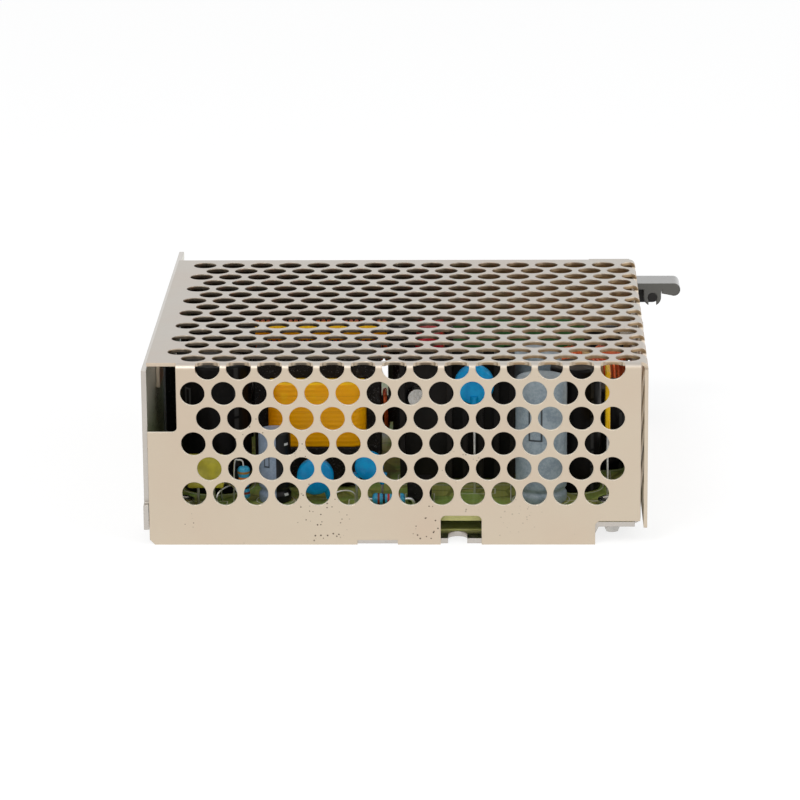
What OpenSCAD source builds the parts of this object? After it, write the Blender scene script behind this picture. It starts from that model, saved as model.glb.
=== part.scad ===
// Enclosed switching power supply: folded sheet chassis, folded mesh cover, board with its
// components, and a terminal strip with a hinged cover.
// +Z up, +Y from the front flap to the terminal end, origin at the middle of the base's underside.

/* [Case] */
// Outer width of the case, over the chassis wall and the cover's side flap
case_w = 97; // [96:0.5:102]
// Outer depth of the case, from the front flap to the terminal end
case_d = 99; // [98:0.5:104]
// Outer height of the case, from the underside of the base to the top of the cover
case_h = 36; // [35.5:0.5:40]
// Thickness of the chassis sheet
chassis_t = 1; // [0.8:0.1:1.2]
// Thickness of the mesh cover sheet
cover_t = 0.7; // [0.6:0.1:1]
// Depth of the open bay at the terminal end, which the cover leaves clear
bay_d = 14.8; // [14.5:0.1:16]
// Height of the chassis wall
wall_h = 34.3; // [33:0.1:34.6]
// Outer radius of the cover's bends
bend_r = 1.2; // [1.1:0.1:1.6]

/* [Mesh] */
// Diameter of the round holes
hole_d = 4.75; // [3.5:0.05:5]
// Distance between holes along a row
hole_pitch = 5.95; // [5.8:0.05:7]
// Distance between rows
row_pitch = 5; // [5:0.1:5.8]
// Distance from the left side of the case to the first hole of an odd row
first_column = 9.9; // [9:0.1:11]
// Distance from the front face to the first row of the top
first_row = 4.6; // [4.4:0.1:5.5]
// Distance from the top down to the first row of the front flap
first_front_row = 5.8; // [5.6:0.1:6.5]

/* [Mounting] */
// Width of the open slots in the base and in the wall
slot_w = 3.7; // [3.2:0.1:4.5]
// Depth of the open slots from the front edge
slot_depth = 8; // [6:0.5:9]
// Depth of the open slot in the base
base_slot_depth = 4.6; // [4:0.1:6]
// Radius of the tapped holes in the chassis
tapped_r = 1.25; // [1:0.05:1.6]
// Distance between the base's tapped holes across the case
base_holes_x = 56; // [40:1:60]
// Distance between the base's tapped holes along the case
base_holes_y = 54; // [40:1:60]
// Distance between the wall's two tapped holes
wall_holes_y = 60; // [50:1:66]

/* [Board] */
// Thickness of the circuit board
board_t = 1.6; // [1.2:0.1:2]
// Height of the raised corner tongues that carry the board
tongue_h = 4.2; // [3.6:0.1:4.6]

/* [Terminals] */
// Number of terminals in the strip
terminal_count = 5; // [3:1:5]
// Distance from one terminal to the next
terminal_pitch = 9.5; // [9:0.1:9.6]
// Thickness of the walls between terminals
barrier_t = 1.5; // [1.2:0.1:1.8]
// Radius of the terminal screws
terminal_screw_r = 1.75; // [1.5:0.05:1.9]
// Thickness of the hinged cover's plate
lid_t = 1.3; // [1:0.1:1.8]
// Radius of the hinge pin
hinge_pin_r = 0.95; // [0.8:0.05:1]
// Running gap round the hinge pin, on the radius
hinge_gap = 0.06; // [0.04:0.01:0.1]

/* [Hidden] */
$fn = 48;

// Planes of the case
left_x = -case_w / 2;
right_x = case_w / 2;
front_y = -case_d / 2;
back_y = case_d / 2;
gap = 0.1;                                  // between neighbouring sheets
wall_in_x = left_x + chassis_t;             // inner face of the chassis wall
flap_in_x = right_x - cover_t;              // inner face of the cover's side flap
cover_left_x = wall_in_x + gap;
cover_back_y = back_y - bay_d;
base_front_y = front_y + cover_t + gap;
rim_out_x = flap_in_x - gap;                // outer face of the chassis rim
rim_h = 14;
rim_tab_w = 9;                              // upright tab of the rim, which the side screw bites
wall_bend_r = 2.5;
front_flap_right_x = right_x - 1.35;

// Board and its supports
board_z = tongue_h;
top_z = board_z + board_t;                  // upper face of the board, where components stand
board_left_x = wall_in_x + 1;
board_right_x = rim_out_x - chassis_t - 0.9;
board_front_y = base_front_y + 1.2;
board_back_y = back_y - 0.6;
tongue_l = 8.5;                             // along the width of the case
tongue_w = 10;                              // along its depth
joggle = 1.6;                               // length of the tongue's sloping root
board_screw_x = [board_left_x + 4.6, board_right_x - 3.9];
rim_back_y = cover_back_y - cover_t;        // the rim ends at the inner face of the back fold
board_screw_y = [board_front_y + 4.3, rim_back_y - 3.6];
board_screw_r = 1.5;
board_screw_tip_z = 0.7;                    // end of the thread over the underside of the case

// Cover fixings
tab_y = [front_y + 27, front_y + 66];
tab_w = 9;
slot_x = 12 * case_w / 97;                 // open slot at the front edge of the base
tab_drop = 10;
tab_screw_z = wall_h - 4.6;
rim_screw_y = front_y + 52;
rim_screw_z = rim_h + 14.6;
screw_r = 1.5;
flat_head_r = 2.5;
back_flange_drop = 13.5;                    // down to just over the terminal strip
back_flange_deep = 20;                      // beside the strip
back_tongue_l = 8.5;
back_ear_w = 1.6;
rim_gap = 0.3;                              // between the rim and the fold above it
strip_gap = 0.3;                            // between the back fold and the terminal strip

// Terminal strip
block_right_x = right_x - 1.3;
end_t = 2.4;
block_l = terminal_count * terminal_pitch + 2 * end_t - barrier_t;
block_left_x = block_right_x - block_l;
block_front_y = cover_back_y + strip_gap;
block_back_y = back_y - 0.7;
lid_front_y = block_front_y + 0.6;          // inner edge of the strip's cover
back_tongue_w = lid_front_y - strip_gap - cover_back_y;
contact_z = top_z + 6.6;
contact_t = 0.8;
clamp_t = 0.8;
head_h = 2.2;
head_r = terminal_screw_r + 1.35;
barrier_top_z = top_z + 15.6;
head_y = block_back_y - 5.6;
function terminal_x(i) = block_left_x + end_t + (terminal_pitch - barrier_t) / 2 + i * terminal_pitch;
hinge_x = right_x + 4;
hinge_z = top_z + 20.1;
knuckle_r = 1.55;                           // arm of the strip that carries the pin
hook_r = 1.85;                              // snap hooks of the cover round the pin
hook_w = 1.8;
hook_front_y = back_y - 7.4;
hook_back_y = back_y - 0.5;
knuckle_front_y = hook_front_y + hook_w + 0.3;
knuckle_back_y = hook_back_y - hook_w - 0.3;
lid_z = hinge_z + knuckle_r + 0.2;
lid_nose_x = right_x + 9.9;

// Places on the board, which move with the case when it is made wider or deeper
function at(x, y) = [x * case_w / 97, y * case_d / 99];
transformer_at = at(-15.75, -21.5);
output_at = [at(28.2, -38.6), at(27.4, -19)];
black_at = [at(35, -29.6), at(41, -14)];
output_r = 5;                               // both kinds of can on the output side
small_at = at(-23.6, -38.9);
film_at = at(6.1, -4.5);
film_size = [6, 18, 25.8];
box_at = at(-36.9, -42);
box_size = [7, 3, 6.2];
box_foot = 3.7;                             // bare lead under the body
bulk_at = at(-35.6, -28.6);
bulk_r = 6.9;
yellow_at = [at(41.1, -35.9), at(25.8, -3.5)];
yellow_size = [[0.9, 6.4, 12.6], [6, 3.4, 22]];
yellow_foot = [13.2, 0];
disc_at = [at(-15.7, -40.2), at(-5.2, -40.4), at(15.2, -33.2)];
line_choke_at = at(-16.2, 7.6);
toroid_at = at(38, 4.5);
fuse_at = at(-27, 30.8);
bridge_at = at(-35.6, 24.6);
varistor_at = at(29.5, 26);
thermistor_at = at(14, 24.5);
transistor_y = -4 * case_d / 99;
heatsink_at = at(11.8, -24.5);
control_at = at(24, 13.8);
control_w = 27;
optocoupler_at = at(4.5, -38.5);
trimmer_at = [block_left_x - 8, back_y - 7.5];
lamp_at = [block_left_x - 15.5, back_y - 6];

// Heights of the components above the base's underside
transformer_top = 31.2;
bulk_top = 31.4;
output_top = 30.6;
black_top = [output_top, 22.5];
heatsink_top = 32;

// Transformer: closed ferrite frame round the coil, two outer legs, upper and lower bars
coil_w = 19.3;
coil_d = 19;
leg = 2.6;
yoke = 4.1;                                 // upper bar of the frame
core_d = 11;
coil_z = top_z + 8.2;
core_z = top_z + 1.2;
coil_foot_w = 3.2;

// Line choke: rectangular ferrite ring standing on edge, wound on its two level arms
choke_w = 33.6;
choke_side = 2.4;                           // upright arms
choke_h = 19;
choke_z = top_z + 3.2;
choke_arm = 4.4;
turn_side = 1.9;                            // winding over the face of the arm

// Output choke: tall wound ring lying flat
toroid_r = 8.2;
toroid_in = 3;
toroid_cover = 1.4;                         // winding over the core
toroid_h = 18;
toroid_open = 34;                           // degrees left bare

// Transistor on the wall and rectifier on the heatsink
pad_t = 0.4;
transistor_w = 10.2;
transistor_h = 15.8;
transistor_z = top_z + 4;
transistor_hole_z = transistor_z + 12.6;
transistor_t = 4.4;
lead_pitch = 2.54;
fin_count = 8;
heatsink_w = 22.6;
heatsink_t = 2;
rectifier_x = heatsink_at[0] - heatsink_w / 2 + 3.4;
rectifier_hole_z = top_z + 17;
rectifier_y = heatsink_at[1] + heatsink_t;

// Electrolytic can: pressed body with a rolled groove near its foot
module can(r, h) {
    rotate_extrude()
        polygon([[0, 0], [r - 0.6, 0], [r, 0.6], [r, 1.6], [r - 0.5, 2.1], [r - 0.5, 2.6],
                 [r, 3.1], [r, h - 0.6], [r - 0.6, h], [r - 1.1, h - 0.3], [0, h - 0.3]]);
}

// Two straight leads standing on the board
module leads(spacing, h, r = 0.35) {
    for (side = [-1, 1])
        translate([side * spacing / 2, 0, 0]) cylinder(r = r, h = h, $fn = 24);
}

// Dipped disc with its two leads, standing across X
module dipped_disc(r, t, centre_h) {
    translate([0, 0, centre_h]) rotate([90, 0, 0])
        rotate_extrude()
            polygon([[0, -t / 2], [r - t / 3, -t / 2], [r, -t / 6], [r, t / 6],
                     [r - t / 3, t / 2], [0, t / 2]]);
    leads(r * 1.1, centre_h - r * 0.55);
}

// Plate with rounded corners
module plate(w, d, t, r) {
    linear_extrude(t)
        rounded(w, d, r);
}

// Rectangle with arcs at its corners, made from two bars and four circles
module rounded(w, d, r) {
    square([w - 2 * r, d], center = true);
    square([w, d - 2 * r], center = true);
    for (x = [-1, 1], y = [-1, 1])
        translate([x * (w / 2 - r), y * (d / 2 - r)]) circle(r);
}

// Section of the chassis: wall, bend, base and rim in one fold
module chassis_section() {
    translate([left_x, wall_bend_r]) square([chassis_t, wall_h - wall_bend_r]);
    intersection() {
        translate([left_x + wall_bend_r, wall_bend_r])
            difference() {
                circle(wall_bend_r);
                circle(wall_bend_r - chassis_t);
            }
        translate([left_x, 0]) square([wall_bend_r, wall_bend_r]);
    }
    translate([left_x + wall_bend_r, 0])
        square([rim_out_x - bend_r - left_x - wall_bend_r, chassis_t]);
    intersection() {
        translate([rim_out_x - bend_r, bend_r])
            difference() {
                circle(bend_r);
                circle(max(bend_r - chassis_t, 0.1));
            }
        translate([rim_out_x - bend_r, 0]) square([bend_r, bend_r]);
    }
    translate([rim_out_x - chassis_t, bend_r]) square([chassis_t, rim_h - bend_r]);
}

// Corner tongue that is lanced from the base and stands up to the board, side = 1 or -1
module tongue(root_x, side) {
    low = chassis_t;
    high = tongue_h;
    translate([root_x, 0, 0]) scale_side(side) rotate([90, 0, 0])
        linear_extrude(tongue_w, center = true)
            polygon([[-0.6, 0], [0, 0], [joggle, high - chassis_t], [tongue_l, high - chassis_t],
                     [tongue_l, high], [joggle - 0.5, high], [-0.5, low], [-0.6, low]]);
}

module scale_side(side) {
    if (side > 0) children();
    else mirror([1, 0, 0]) children();
}

// Bottom face of the open slot: a strip with a round end, cut from the front edge
module open_slot(w, depth) {
    translate([-w / 2, -20]) square([w, 20 + depth - w / 2]);
    translate([0, depth - w / 2]) circle(w / 2);
}

module chassis() {
    wall_slot_z = 27.9;
    rim_front_y = front_y + 14;
    root_x = [board_left_x + tongue_l + 0.3, board_right_x - tongue_l + 0.3];
    window_w = tongue_w + 0.6;
    color("gainsboro") difference() {
        union() {
            difference() {
                translate([0, back_y, 0]) rotate([90, 0, 0])
                    linear_extrude(case_d) chassis_section();
                // the base and rim start behind the cover's front flap
                translate([wall_in_x, front_y - 1, -1])
                    cube([case_w, base_front_y - front_y + 1, wall_h]);
                translate([rim_out_x - bend_r - 0.01, front_y - 1, -1])
                    cube([5, rim_front_y - front_y + 1, rim_h + 2]);
                translate([rim_out_x - bend_r - 0.01, rim_back_y, -1])
                    cube([5, back_y - rim_back_y + 1, rim_h + 2]);
                // windows that the tongues leave in the base: the front two are open corners
                for (i = [0, 1])
                    translate([root_x[i] - (i == 0 ? tongue_l + 3 : 0), front_y - 1, -1])
                        cube([tongue_l + 3, board_screw_y[0] + window_w / 2 - front_y + 1,
                              wall_bend_r + 1.5]);
                for (i = [0, 1])
                    translate([root_x[i] - (i == 0 ? tongue_l + 0.4 : 0),
                               board_screw_y[1] - window_w / 2, -1])
                        cube([tongue_l + 0.4, window_w, chassis_t + 1.5]);
            }
            for (i = [0, 1], j = [0, 1])
                translate([0, board_screw_y[j], 0]) tongue(root_x[i], i == 0 ? -1 : 1);
            translate([rim_out_x - chassis_t, rim_screw_y - rim_tab_w / 2, rim_h - 0.1])
                cube([chassis_t, rim_tab_w, rim_screw_z + 3.5 - rim_h]);
        }
        // open mounting slots at the front edge
        translate([slot_x, base_front_y, -1]) linear_extrude(chassis_t + 2)
            open_slot(slot_w, base_slot_depth);
        translate([left_x - 1, front_y, wall_slot_z]) rotate([90, 0, 90])
            linear_extrude(chassis_t + 2) open_slot(slot_w, slot_depth);
        // tapped mounting holes
        for (x = [-1, 1], y = [-1, 1])
            translate([x * base_holes_x / 2, y * base_holes_y / 2, -1])
                cylinder(r = tapped_r, h = chassis_t + 2);
        for (y = [-1, 1])
            translate([left_x - 1, y * wall_holes_y / 2, 9]) rotate([0, 90, 0])
                cylinder(r = tapped_r, h = chassis_t + 2);
        // board screws bite in the tongues
        for (x = board_screw_x, y = board_screw_y)
            translate([x, y, tongue_h - chassis_t - 1]) cylinder(r = board_screw_r, h = chassis_t + 2);
        // countersunk holes for the cover's tabs
        for (y = tab_y) translate([left_x, y, tab_screw_z]) rotate([0, 90, 0]) {
            translate([0, 0, -0.01])
                cylinder(r1 = flat_head_r + 0.05, r2 = screw_r + 0.05, h = flat_head_r - screw_r);
            cylinder(r = screw_r + 0.05, h = chassis_t + 1);
        }
        // hole for the transistor's screw
        translate([left_x - 1, transistor_y, transistor_hole_z]) rotate([0, 90, 0])
            cylinder(r = screw_r + 0.05, h = chassis_t + 2);
        // tapped hole in the rim
        translate([rim_out_x - chassis_t - 1, rim_screw_y, rim_screw_z]) rotate([0, 90, 0])
            cylinder(r = screw_r, h = chassis_t + 2);
    }
}

// Hole rows: odd rows start at the first column, even rows half a pitch before it
top_rows = floor((cover_back_y - front_y - first_row - hole_d / 2 - 1) / row_pitch) + 1;
front_rows = floor((case_h - first_front_row - 7.2) / row_pitch) + 1;
function row_start(j) = left_x + first_column - (j % 2 == 0 ? 0 : hole_pitch / 2);
function row_count(j, limit) = floor((limit - row_start(j)) / hole_pitch) + 1;
function row_y(j) = front_y + first_row + j * row_pitch;
function front_row_z(j) = case_h - first_front_row - j * row_pitch;
// First hole past a limit along an odd or even row, continued over the side bend
function bend_hole_x(j) = row_start(j) + row_count(j, right_x - bend_r - 2.3) * hole_pitch;
function side_z(j, k) = case_h - bend_r - (bend_hole_x(j) + k * hole_pitch - right_x + bend_r)
                        + (bend_r - cover_t / 2) * PI / 2;
side_bottom_z = 3.3;

module top_sheet() {
    difference() {
        translate([cover_left_x, front_y + bend_r])
            square([right_x - bend_r - cover_left_x, cover_back_y - front_y - bend_r]);
        for (j = [0 : top_rows - 1], k = [0 : row_count(j, right_x - bend_r - 2.3) - 1])
            translate([row_start(j) + k * hole_pitch, row_y(j)]) circle(hole_d / 2);
    }
}

// Front flap, drawn with X across and Y as height
module front_sheet() {
    notch_x = cover_left_x + 5.7;
    notch_z = case_h - 13.5;
    step_x = right_x - 10;
    window_w = 7.9;
    window_h = 5.8;
    window_x = slot_x + 0.7;
    corner = 1;
    relief_x = -3.4;
    difference() {
        translate([cover_left_x, 0]) square([front_flap_right_x - cover_left_x, case_h - bend_r]);
        // corner notch at the upper left, with a round inner corner
        translate([cover_left_x - 1, notch_z + 1]) square([notch_x - cover_left_x + 1, case_h]);
        translate([cover_left_x - 1, notch_z]) square([notch_x - cover_left_x, 2]);
        translate([notch_x - 1, notch_z + 1]) circle(1);
        // small cut corner at the lower left
        polygon([[cover_left_x - 1, -1], [cover_left_x + 2, -1], [cover_left_x - 1, 2]]);
        // step at the lower right, which clears the raised corner of the base
        translate([step_x, -1]) square([20, 4.7]);
        translate([step_x + corner, -1]) square([20, 5.7]);
        translate([step_x + corner, 4.7 - corner]) circle(corner);
        // window over the open slot of the base
        translate([window_x - window_w / 2, -1]) square([window_w, window_h]);
        translate([window_x - window_w / 2 + 1, -1]) square([window_w - 2, window_h + 1]);
        for (side = [-1, 1])
            translate([window_x + side * (window_w / 2 - 1), window_h - 1]) circle(1);
        // shallow relief in the lower edge
        translate([relief_x - 3.9, -1]) square([7.8, 1.9]);
        for (j = [0 : front_rows - 1], k = [0 : 13])
            if (row_start(j) + k * hole_pitch + (j % 2 == 0 ? 0 : hole_pitch)
                < front_flap_right_x - hole_d / 2 - 0.5)
                translate([row_start(j) + k * hole_pitch + (j % 2 == 0 ? 0 : hole_pitch),
                           front_row_z(j)]) circle(hole_d / 2);
    }
}

// Side flap, drawn with the depth of the case across and Y as height
module side_sheet() {
    difference() {
        translate([front_y + 0.3, side_bottom_z])
            square([cover_back_y - front_y - 0.3, case_h - bend_r - side_bottom_z]);
        for (j = [0 : top_rows - 1], k = [1 - (j % 2 == 0 ? 1 : 0) : 5])
            if (side_z(j, k) > side_bottom_z + hole_d / 2 + 1 && side_z(j, k) < case_h - bend_r - 0.8
                && norm([row_y(j) - rim_screw_y, side_z(j, k) - rim_screw_z]) > hole_d / 2 + 3.4)
                translate([row_y(j), side_z(j, k)]) circle(hole_d / 2);
        translate([rim_screw_y, rim_screw_z]) circle(screw_r + 0.05);
    }
}

// Quarter tube along a bend, from the origin along +X
module bend(length) {
    rotate([90, 0, 90]) linear_extrude(length) intersection() {
        difference() {
            circle(bend_r);
            circle(bend_r - cover_t);
        }
        translate([-bend_r, 0]) square(bend_r);
    }
}

module mesh_cover() {
    edge_drop = 0.78;
    color("tan") difference() {
        union() {
            translate([0, 0, case_h - cover_t]) linear_extrude(cover_t) top_sheet();
            translate([0, front_y + cover_t, 0]) rotate([90, 0, 0])
                linear_extrude(cover_t) front_sheet();
            translate([flap_in_x, 0, 0]) rotate([90, 0, 90]) linear_extrude(cover_t) side_sheet();
            // front bend, between the corner notch and the side
            translate([cover_left_x + 5.7, front_y + bend_r, case_h - bend_r])
                bend(front_flap_right_x - cover_left_x - 5.7);
            // side bend
            translate([right_x - bend_r, front_y + bend_r, case_h - bend_r]) rotate([0, 0, 90])
                bend(cover_back_y - front_y - bend_r);
            // edge folded down over the terminal strip, deeper beside it
            translate([cover_left_x, cover_back_y - cover_t, case_h - back_flange_drop])
                cube([flap_in_x + 0.1 - cover_left_x, cover_t, back_flange_drop - 0.1]);
            translate([cover_left_x, cover_back_y - cover_t, case_h - back_flange_deep])
                cube([block_left_x - 0.2 - cover_left_x, cover_t, back_flange_deep - 0.1]);
            // narrow stretch down to the rim, beside the right end of the strip
            translate([flap_in_x - back_ear_w, cover_back_y - cover_t, rim_h + rim_gap])
                cube([back_ear_w + 0.1, cover_t, case_h - rim_h - rim_gap - 0.1]);
            // tongue of the top over the right end of the strip
            translate([right_x - bend_r - back_tongue_l, cover_back_y - 1, case_h - cover_t])
                cube([back_tongue_l, back_tongue_w + 1, cover_t]);
            // tabs folded down inside the chassis wall
            for (y = tab_y)
                translate([cover_left_x, y - tab_w / 2, case_h - tab_drop - cover_t])
                    cube([cover_t, tab_w, tab_drop + 0.4]);
        }
        // row of holes over the front bend
        for (k = [0 : 13]) translate([row_start(1) + (k + 1) * hole_pitch, 0, 0]) {
            translate([0, front_y - 0.15, case_h - bend_r]) cylinder(r = hole_d / 2, h = 5);
            translate([0, front_y + bend_r, case_h - edge_drop]) rotate([90, 0, 0])
                cylinder(r = hole_d / 2, h = 5);
        }
        // every second row goes on over the side bend
        for (j = [1 : 2 : top_rows - 1]) translate([0, row_y(j), 0]) {
            translate([bend_hole_x(j), 0, case_h - bend_r]) cylinder(r = hole_d / 2, h = 5);
            translate([right_x - bend_r, 0, case_h - 0.25]) rotate([0, 90, 0])
                cylinder(r = hole_d / 2, h = 5);
        }
        // tapped holes in the tabs
        for (y = tab_y) translate([cover_left_x - 1, y, tab_screw_z]) rotate([0, 90, 0])
            cylinder(r = screw_r, h = cover_t + 2);
    }
}

// Left screws are countersunk in the wall, the right one has a low round head
module cover_screws() {
    color("silver") {
        for (y = tab_y) translate([left_x, y, tab_screw_z]) rotate([0, 90, 0]) {
            cylinder(r1 = flat_head_r, r2 = screw_r, h = flat_head_r - screw_r);
            translate([0, 0, flat_head_r - screw_r - 0.1]) cylinder(r = screw_r, h = 4);
        }
        translate([right_x, rim_screw_y, rim_screw_z]) rotate([0, 90, 0]) {
            cylinder(r1 = 2.7, r2 = 2.1, h = 0.7);
            translate([0, 0, -4]) cylinder(r = screw_r, h = 4.1);
        }
    }
}

module insulation_sheet() {
    sheet_t = 0.4;
    sheet_left = board_left_x + tongue_l + joggle;
    sheet_right = board_right_x - tongue_l - joggle;
    sheet_front_y = base_front_y + base_slot_depth + 0.3;
    sheet_back_y = back_y - 15.1;
    color("olivedrab") translate([sheet_left, sheet_front_y, chassis_t])
        cube([sheet_right - sheet_left, sheet_back_y - sheet_front_y, sheet_t]);
}

module circuit_board() {
    color("darkgreen") difference() {
        translate([board_left_x, board_front_y, board_z])
            cube([board_right_x - board_left_x, board_back_y - board_front_y, board_t]);
        for (x = board_screw_x, y = board_screw_y)
            translate([x, y, board_z - 1]) cylinder(r = board_screw_r + 0.15, h = board_t + 2);
        // room for the terminal screws' ends
        for (i = [0 : terminal_count - 1])
            translate([terminal_x(i), head_y, board_z - 1]) cylinder(r = 1.2, h = board_t + 2);
    }
}

module board_screws() {
    color("silver") for (x = board_screw_x, y = board_screw_y) translate([x, y, 0]) {
        translate([0, 0, board_screw_tip_z])
            cylinder(r = board_screw_r, h = top_z + 0.1 - board_screw_tip_z);
        translate([0, 0, top_z]) cylinder(r1 = 2.8, r2 = 2.2, h = 1.9);
    }
}

// Moulded strip: floor, inner wall, barriers, and at its right end the ears of the hinge
module terminal_block() {
    depth = block_back_y - block_front_y;
    post_top = lid_z - 0.3;
    post_x = block_right_x - end_t;
    color("#151515") difference() {
        union() {
            translate([block_left_x, block_front_y, top_z])
                cube([block_l, depth, contact_z - top_z]);
            translate([block_left_x, block_front_y, top_z])
                cube([block_l, 2, barrier_top_z - top_z]);
            for (i = [1 : terminal_count - 1])
                translate([terminal_x(i) - terminal_pitch / 2 - barrier_t / 2, block_front_y, top_z])
                    cube([barrier_t, depth, barrier_top_z - top_z]);
            // end posts
            translate([block_left_x, block_front_y, top_z]) cube([end_t, depth, post_top - top_z]);
            translate([post_x, block_front_y, top_z]) cube([end_t, depth, hinge_z - top_z + 1]);
            // arm out to the hinge pin
            translate([0, knuckle_back_y, hinge_z]) rotate([90, 0, 0])
                linear_extrude(knuckle_back_y - knuckle_front_y) {
                    translate([hinge_x, 0]) circle(knuckle_r);
                    translate([post_x, -knuckle_r]) square([hinge_x - post_x, 2 * knuckle_r]);
                }
        }
        translate([hinge_x, hook_front_y, hinge_z]) rotate([-90, 0, 0])
            cylinder(r = hinge_pin_r, h = hook_back_y - hook_front_y);
        for (i = [0 : terminal_count - 1])
            translate([terminal_x(i), head_y, top_z - 1])
                cylinder(r = terminal_screw_r + 0.2, h = contact_z - top_z + 2);
    }
}

module terminal_contacts() {
    color("gold") for (i = [0 : terminal_count - 1]) difference() {
        translate([terminal_x(i) - 3.2, block_front_y + 2.3, contact_z])
            cube([6.4, block_back_y - block_front_y - 2.9, contact_t]);
        translate([terminal_x(i), head_y, contact_z - 1])
            cylinder(r = terminal_screw_r, h = contact_t + 2);
    }
}

module terminal_clamps() {
    color("silver") for (i = [0 : terminal_count - 1]) difference() {
        translate([terminal_x(i), head_y, contact_z + contact_t])
            plate(6.8, 7.2, clamp_t, 0.8);
        translate([terminal_x(i), head_y, contact_z])
            cylinder(r = terminal_screw_r + 0.1, h = 4);
    }
}

module terminal_screws() {
    head_z = contact_z + contact_t + clamp_t;
    color("silver") for (i = [0 : terminal_count - 1]) translate([terminal_x(i), head_y, 0]) {
        translate([0, 0, top_z + 1.2]) cylinder(r = terminal_screw_r, h = head_z - top_z - 1.1);
        translate([0, 0, head_z]) cylinder(r1 = head_r, r2 = head_r - 0.7, h = head_h);
    }
}

module hinge_pin() {
    color("lightgray") translate([hinge_x, hook_front_y, hinge_z]) rotate([-90, 0, 0])
        cylinder(r = hinge_pin_r, h = hook_back_y - hook_front_y);
}

// Lid over the strip: plate, two snap hooks round the pin, and a rounded nose past the hinge
module terminal_cover() {
    lid_left_x = block_left_x - 0.8;
    nose_r = 1.35;
    nose_z = lid_z + lid_t - nose_r;
    mouth = 1.7 * hinge_pin_r;
    color("#181818") difference() {
        union() {
            translate([lid_left_x, lid_front_y, lid_z])
                cube([block_right_x - lid_left_x, hook_back_y - lid_front_y, lid_t]);
            translate([block_right_x - 3, hook_front_y, lid_z])
                cube([lid_nose_x - nose_r - block_right_x + 3, hook_back_y - hook_front_y, lid_t]);
            // stiffening ribs along the plate
            for (y = [lid_front_y + 1, hook_back_y - 1.8])
                translate([lid_left_x + 2, y, lid_z + lid_t - 0.1]) cube([block_l - 6, 0.9, 0.7]);
            // finger lip at the free end
            translate([lid_left_x - 1.2, hook_front_y, lid_z])
                cube([1.3, hook_back_y - hook_front_y - 1, lid_t]);
            for (y = [hook_front_y + hook_w, hook_back_y])
                translate([0, y, 0]) rotate([90, 0, 0]) linear_extrude(hook_w) {
                    translate([hinge_x, hinge_z]) circle(hook_r);
                    translate([hinge_x - hook_r, hinge_z])
                        square([2 * hook_r, lid_z - hinge_z + 0.1]);
                }
            // nose, thicker than the plate and round at its end
            translate([0, hook_back_y, 0]) rotate([90, 0, 0])
                linear_extrude(hook_back_y - hook_front_y) {
                    translate([lid_nose_x - nose_r, nose_z]) circle(nose_r);
                    polygon([[hinge_x + hook_r + 0.1, lid_z + 0.2],
                             [hinge_x + hook_r + 0.1, lid_z - 0.9],
                             [lid_nose_x - nose_r, nose_z - nose_r],
                             [lid_nose_x - nose_r, lid_z + 0.2]]);
                }
        }
        translate([hinge_x, hook_front_y - 1, hinge_z]) rotate([-90, 0, 0])
            cylinder(r = hinge_pin_r + hinge_gap, h = hook_back_y - hook_front_y + 2);
        // mouths of the hooks
        translate([hinge_x - mouth / 2, hook_front_y - 1, hinge_z - hook_r - 1])
            cube([mouth, hook_back_y - hook_front_y + 2, hook_r + 1]);
    }
}

module trimmer_body() {
    size = 6.6;
    color("steelblue") translate([trimmer_at[0], trimmer_at[1], top_z]) difference() {
        translate([0, 0, 0.5]) plate(size, size, 4.6, 0.5);
        translate([0, 0, 2.6]) cylinder(r = 2.35, h = 5);
    }
    color("silver") translate([trimmer_at[0], trimmer_at[1], top_z]) leads(5, 0.6);
}

module trimmer_rotor() {
    color("ivory") translate([trimmer_at[0], trimmer_at[1], top_z + 2.65]) difference() {
        cylinder(r = 2.3, h = 2.7);
        translate([-1.8, -0.3, 1.8]) cube([3.6, 0.6, 2]);
        translate([-0.3, -1.8, 1.8]) cube([0.6, 3.6, 2]);
    }
}

module indicator_lamp() {
    color("limegreen") translate([lamp_at[0], lamp_at[1], top_z]) {
        translate([0, 0, 3]) cylinder(r = 1.85, h = 1);
        translate([0, 0, 3]) cylinder(r = 1.5, h = 4);
        translate([0, 0, 7]) sphere(r = 1.5);
        leads(1.8, 3.1, 0.3);
    }
}

module transformer_core() {
    core_w = coil_w + 2 * leg + 0.2;
    height = transformer_top - core_z;
    color("#2a2a2c") translate([transformer_at[0], transformer_at[1] + core_d / 2, core_z])
        rotate([90, 0, 0]) linear_extrude(core_d) difference() {
            translate([-core_w / 2, 0]) square([core_w, height]);
            translate([-coil_w / 2 - 0.1, coil_z - core_z - 0.1])
                square([coil_w + 0.2, height - (coil_z - core_z) - yoke + 0.2]);
        }
}

module transformer_coil() {
    height = transformer_top - yoke - coil_z;
    color("gold") translate([transformer_at[0], transformer_at[1], coil_z])
        plate(coil_w, coil_d, height, 3);
    // moulded foot rails with pins on both sides of the core
    color("#1c1c1c") for (side = [-1, 1])
        translate([transformer_at[0] - coil_w / 2,
                   transformer_at[1] + side * (coil_d - coil_foot_w) / 2 - coil_foot_w / 2, top_z + 0.6])
            cube([coil_w, coil_foot_w, coil_z - top_z - 0.5]);
    color("silver") for (side = [-1, 1], k = [-2 : 2])
        translate([transformer_at[0] + k * 4, transformer_at[1] + side * (coil_d - coil_foot_w) / 2, top_z])
            cylinder(r = 0.4, h = 1, $fn = 24);
}

module bulk_capacitor() {
    color("#1b1b1e") translate([bulk_at[0], bulk_at[1], top_z])
        can(bulk_r, bulk_top - top_z);
}

module output_capacitors() {
    color("lightsteelblue") for (p = output_at) translate([p[0], p[1], top_z])
        can(output_r, output_top - top_z);
}

module black_capacitors() {
    color("#1b1b1e") for (i = [0, 1]) translate([black_at[i][0], black_at[i][1], top_z])
        can(output_r, black_top[i] - top_z);
}

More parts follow.
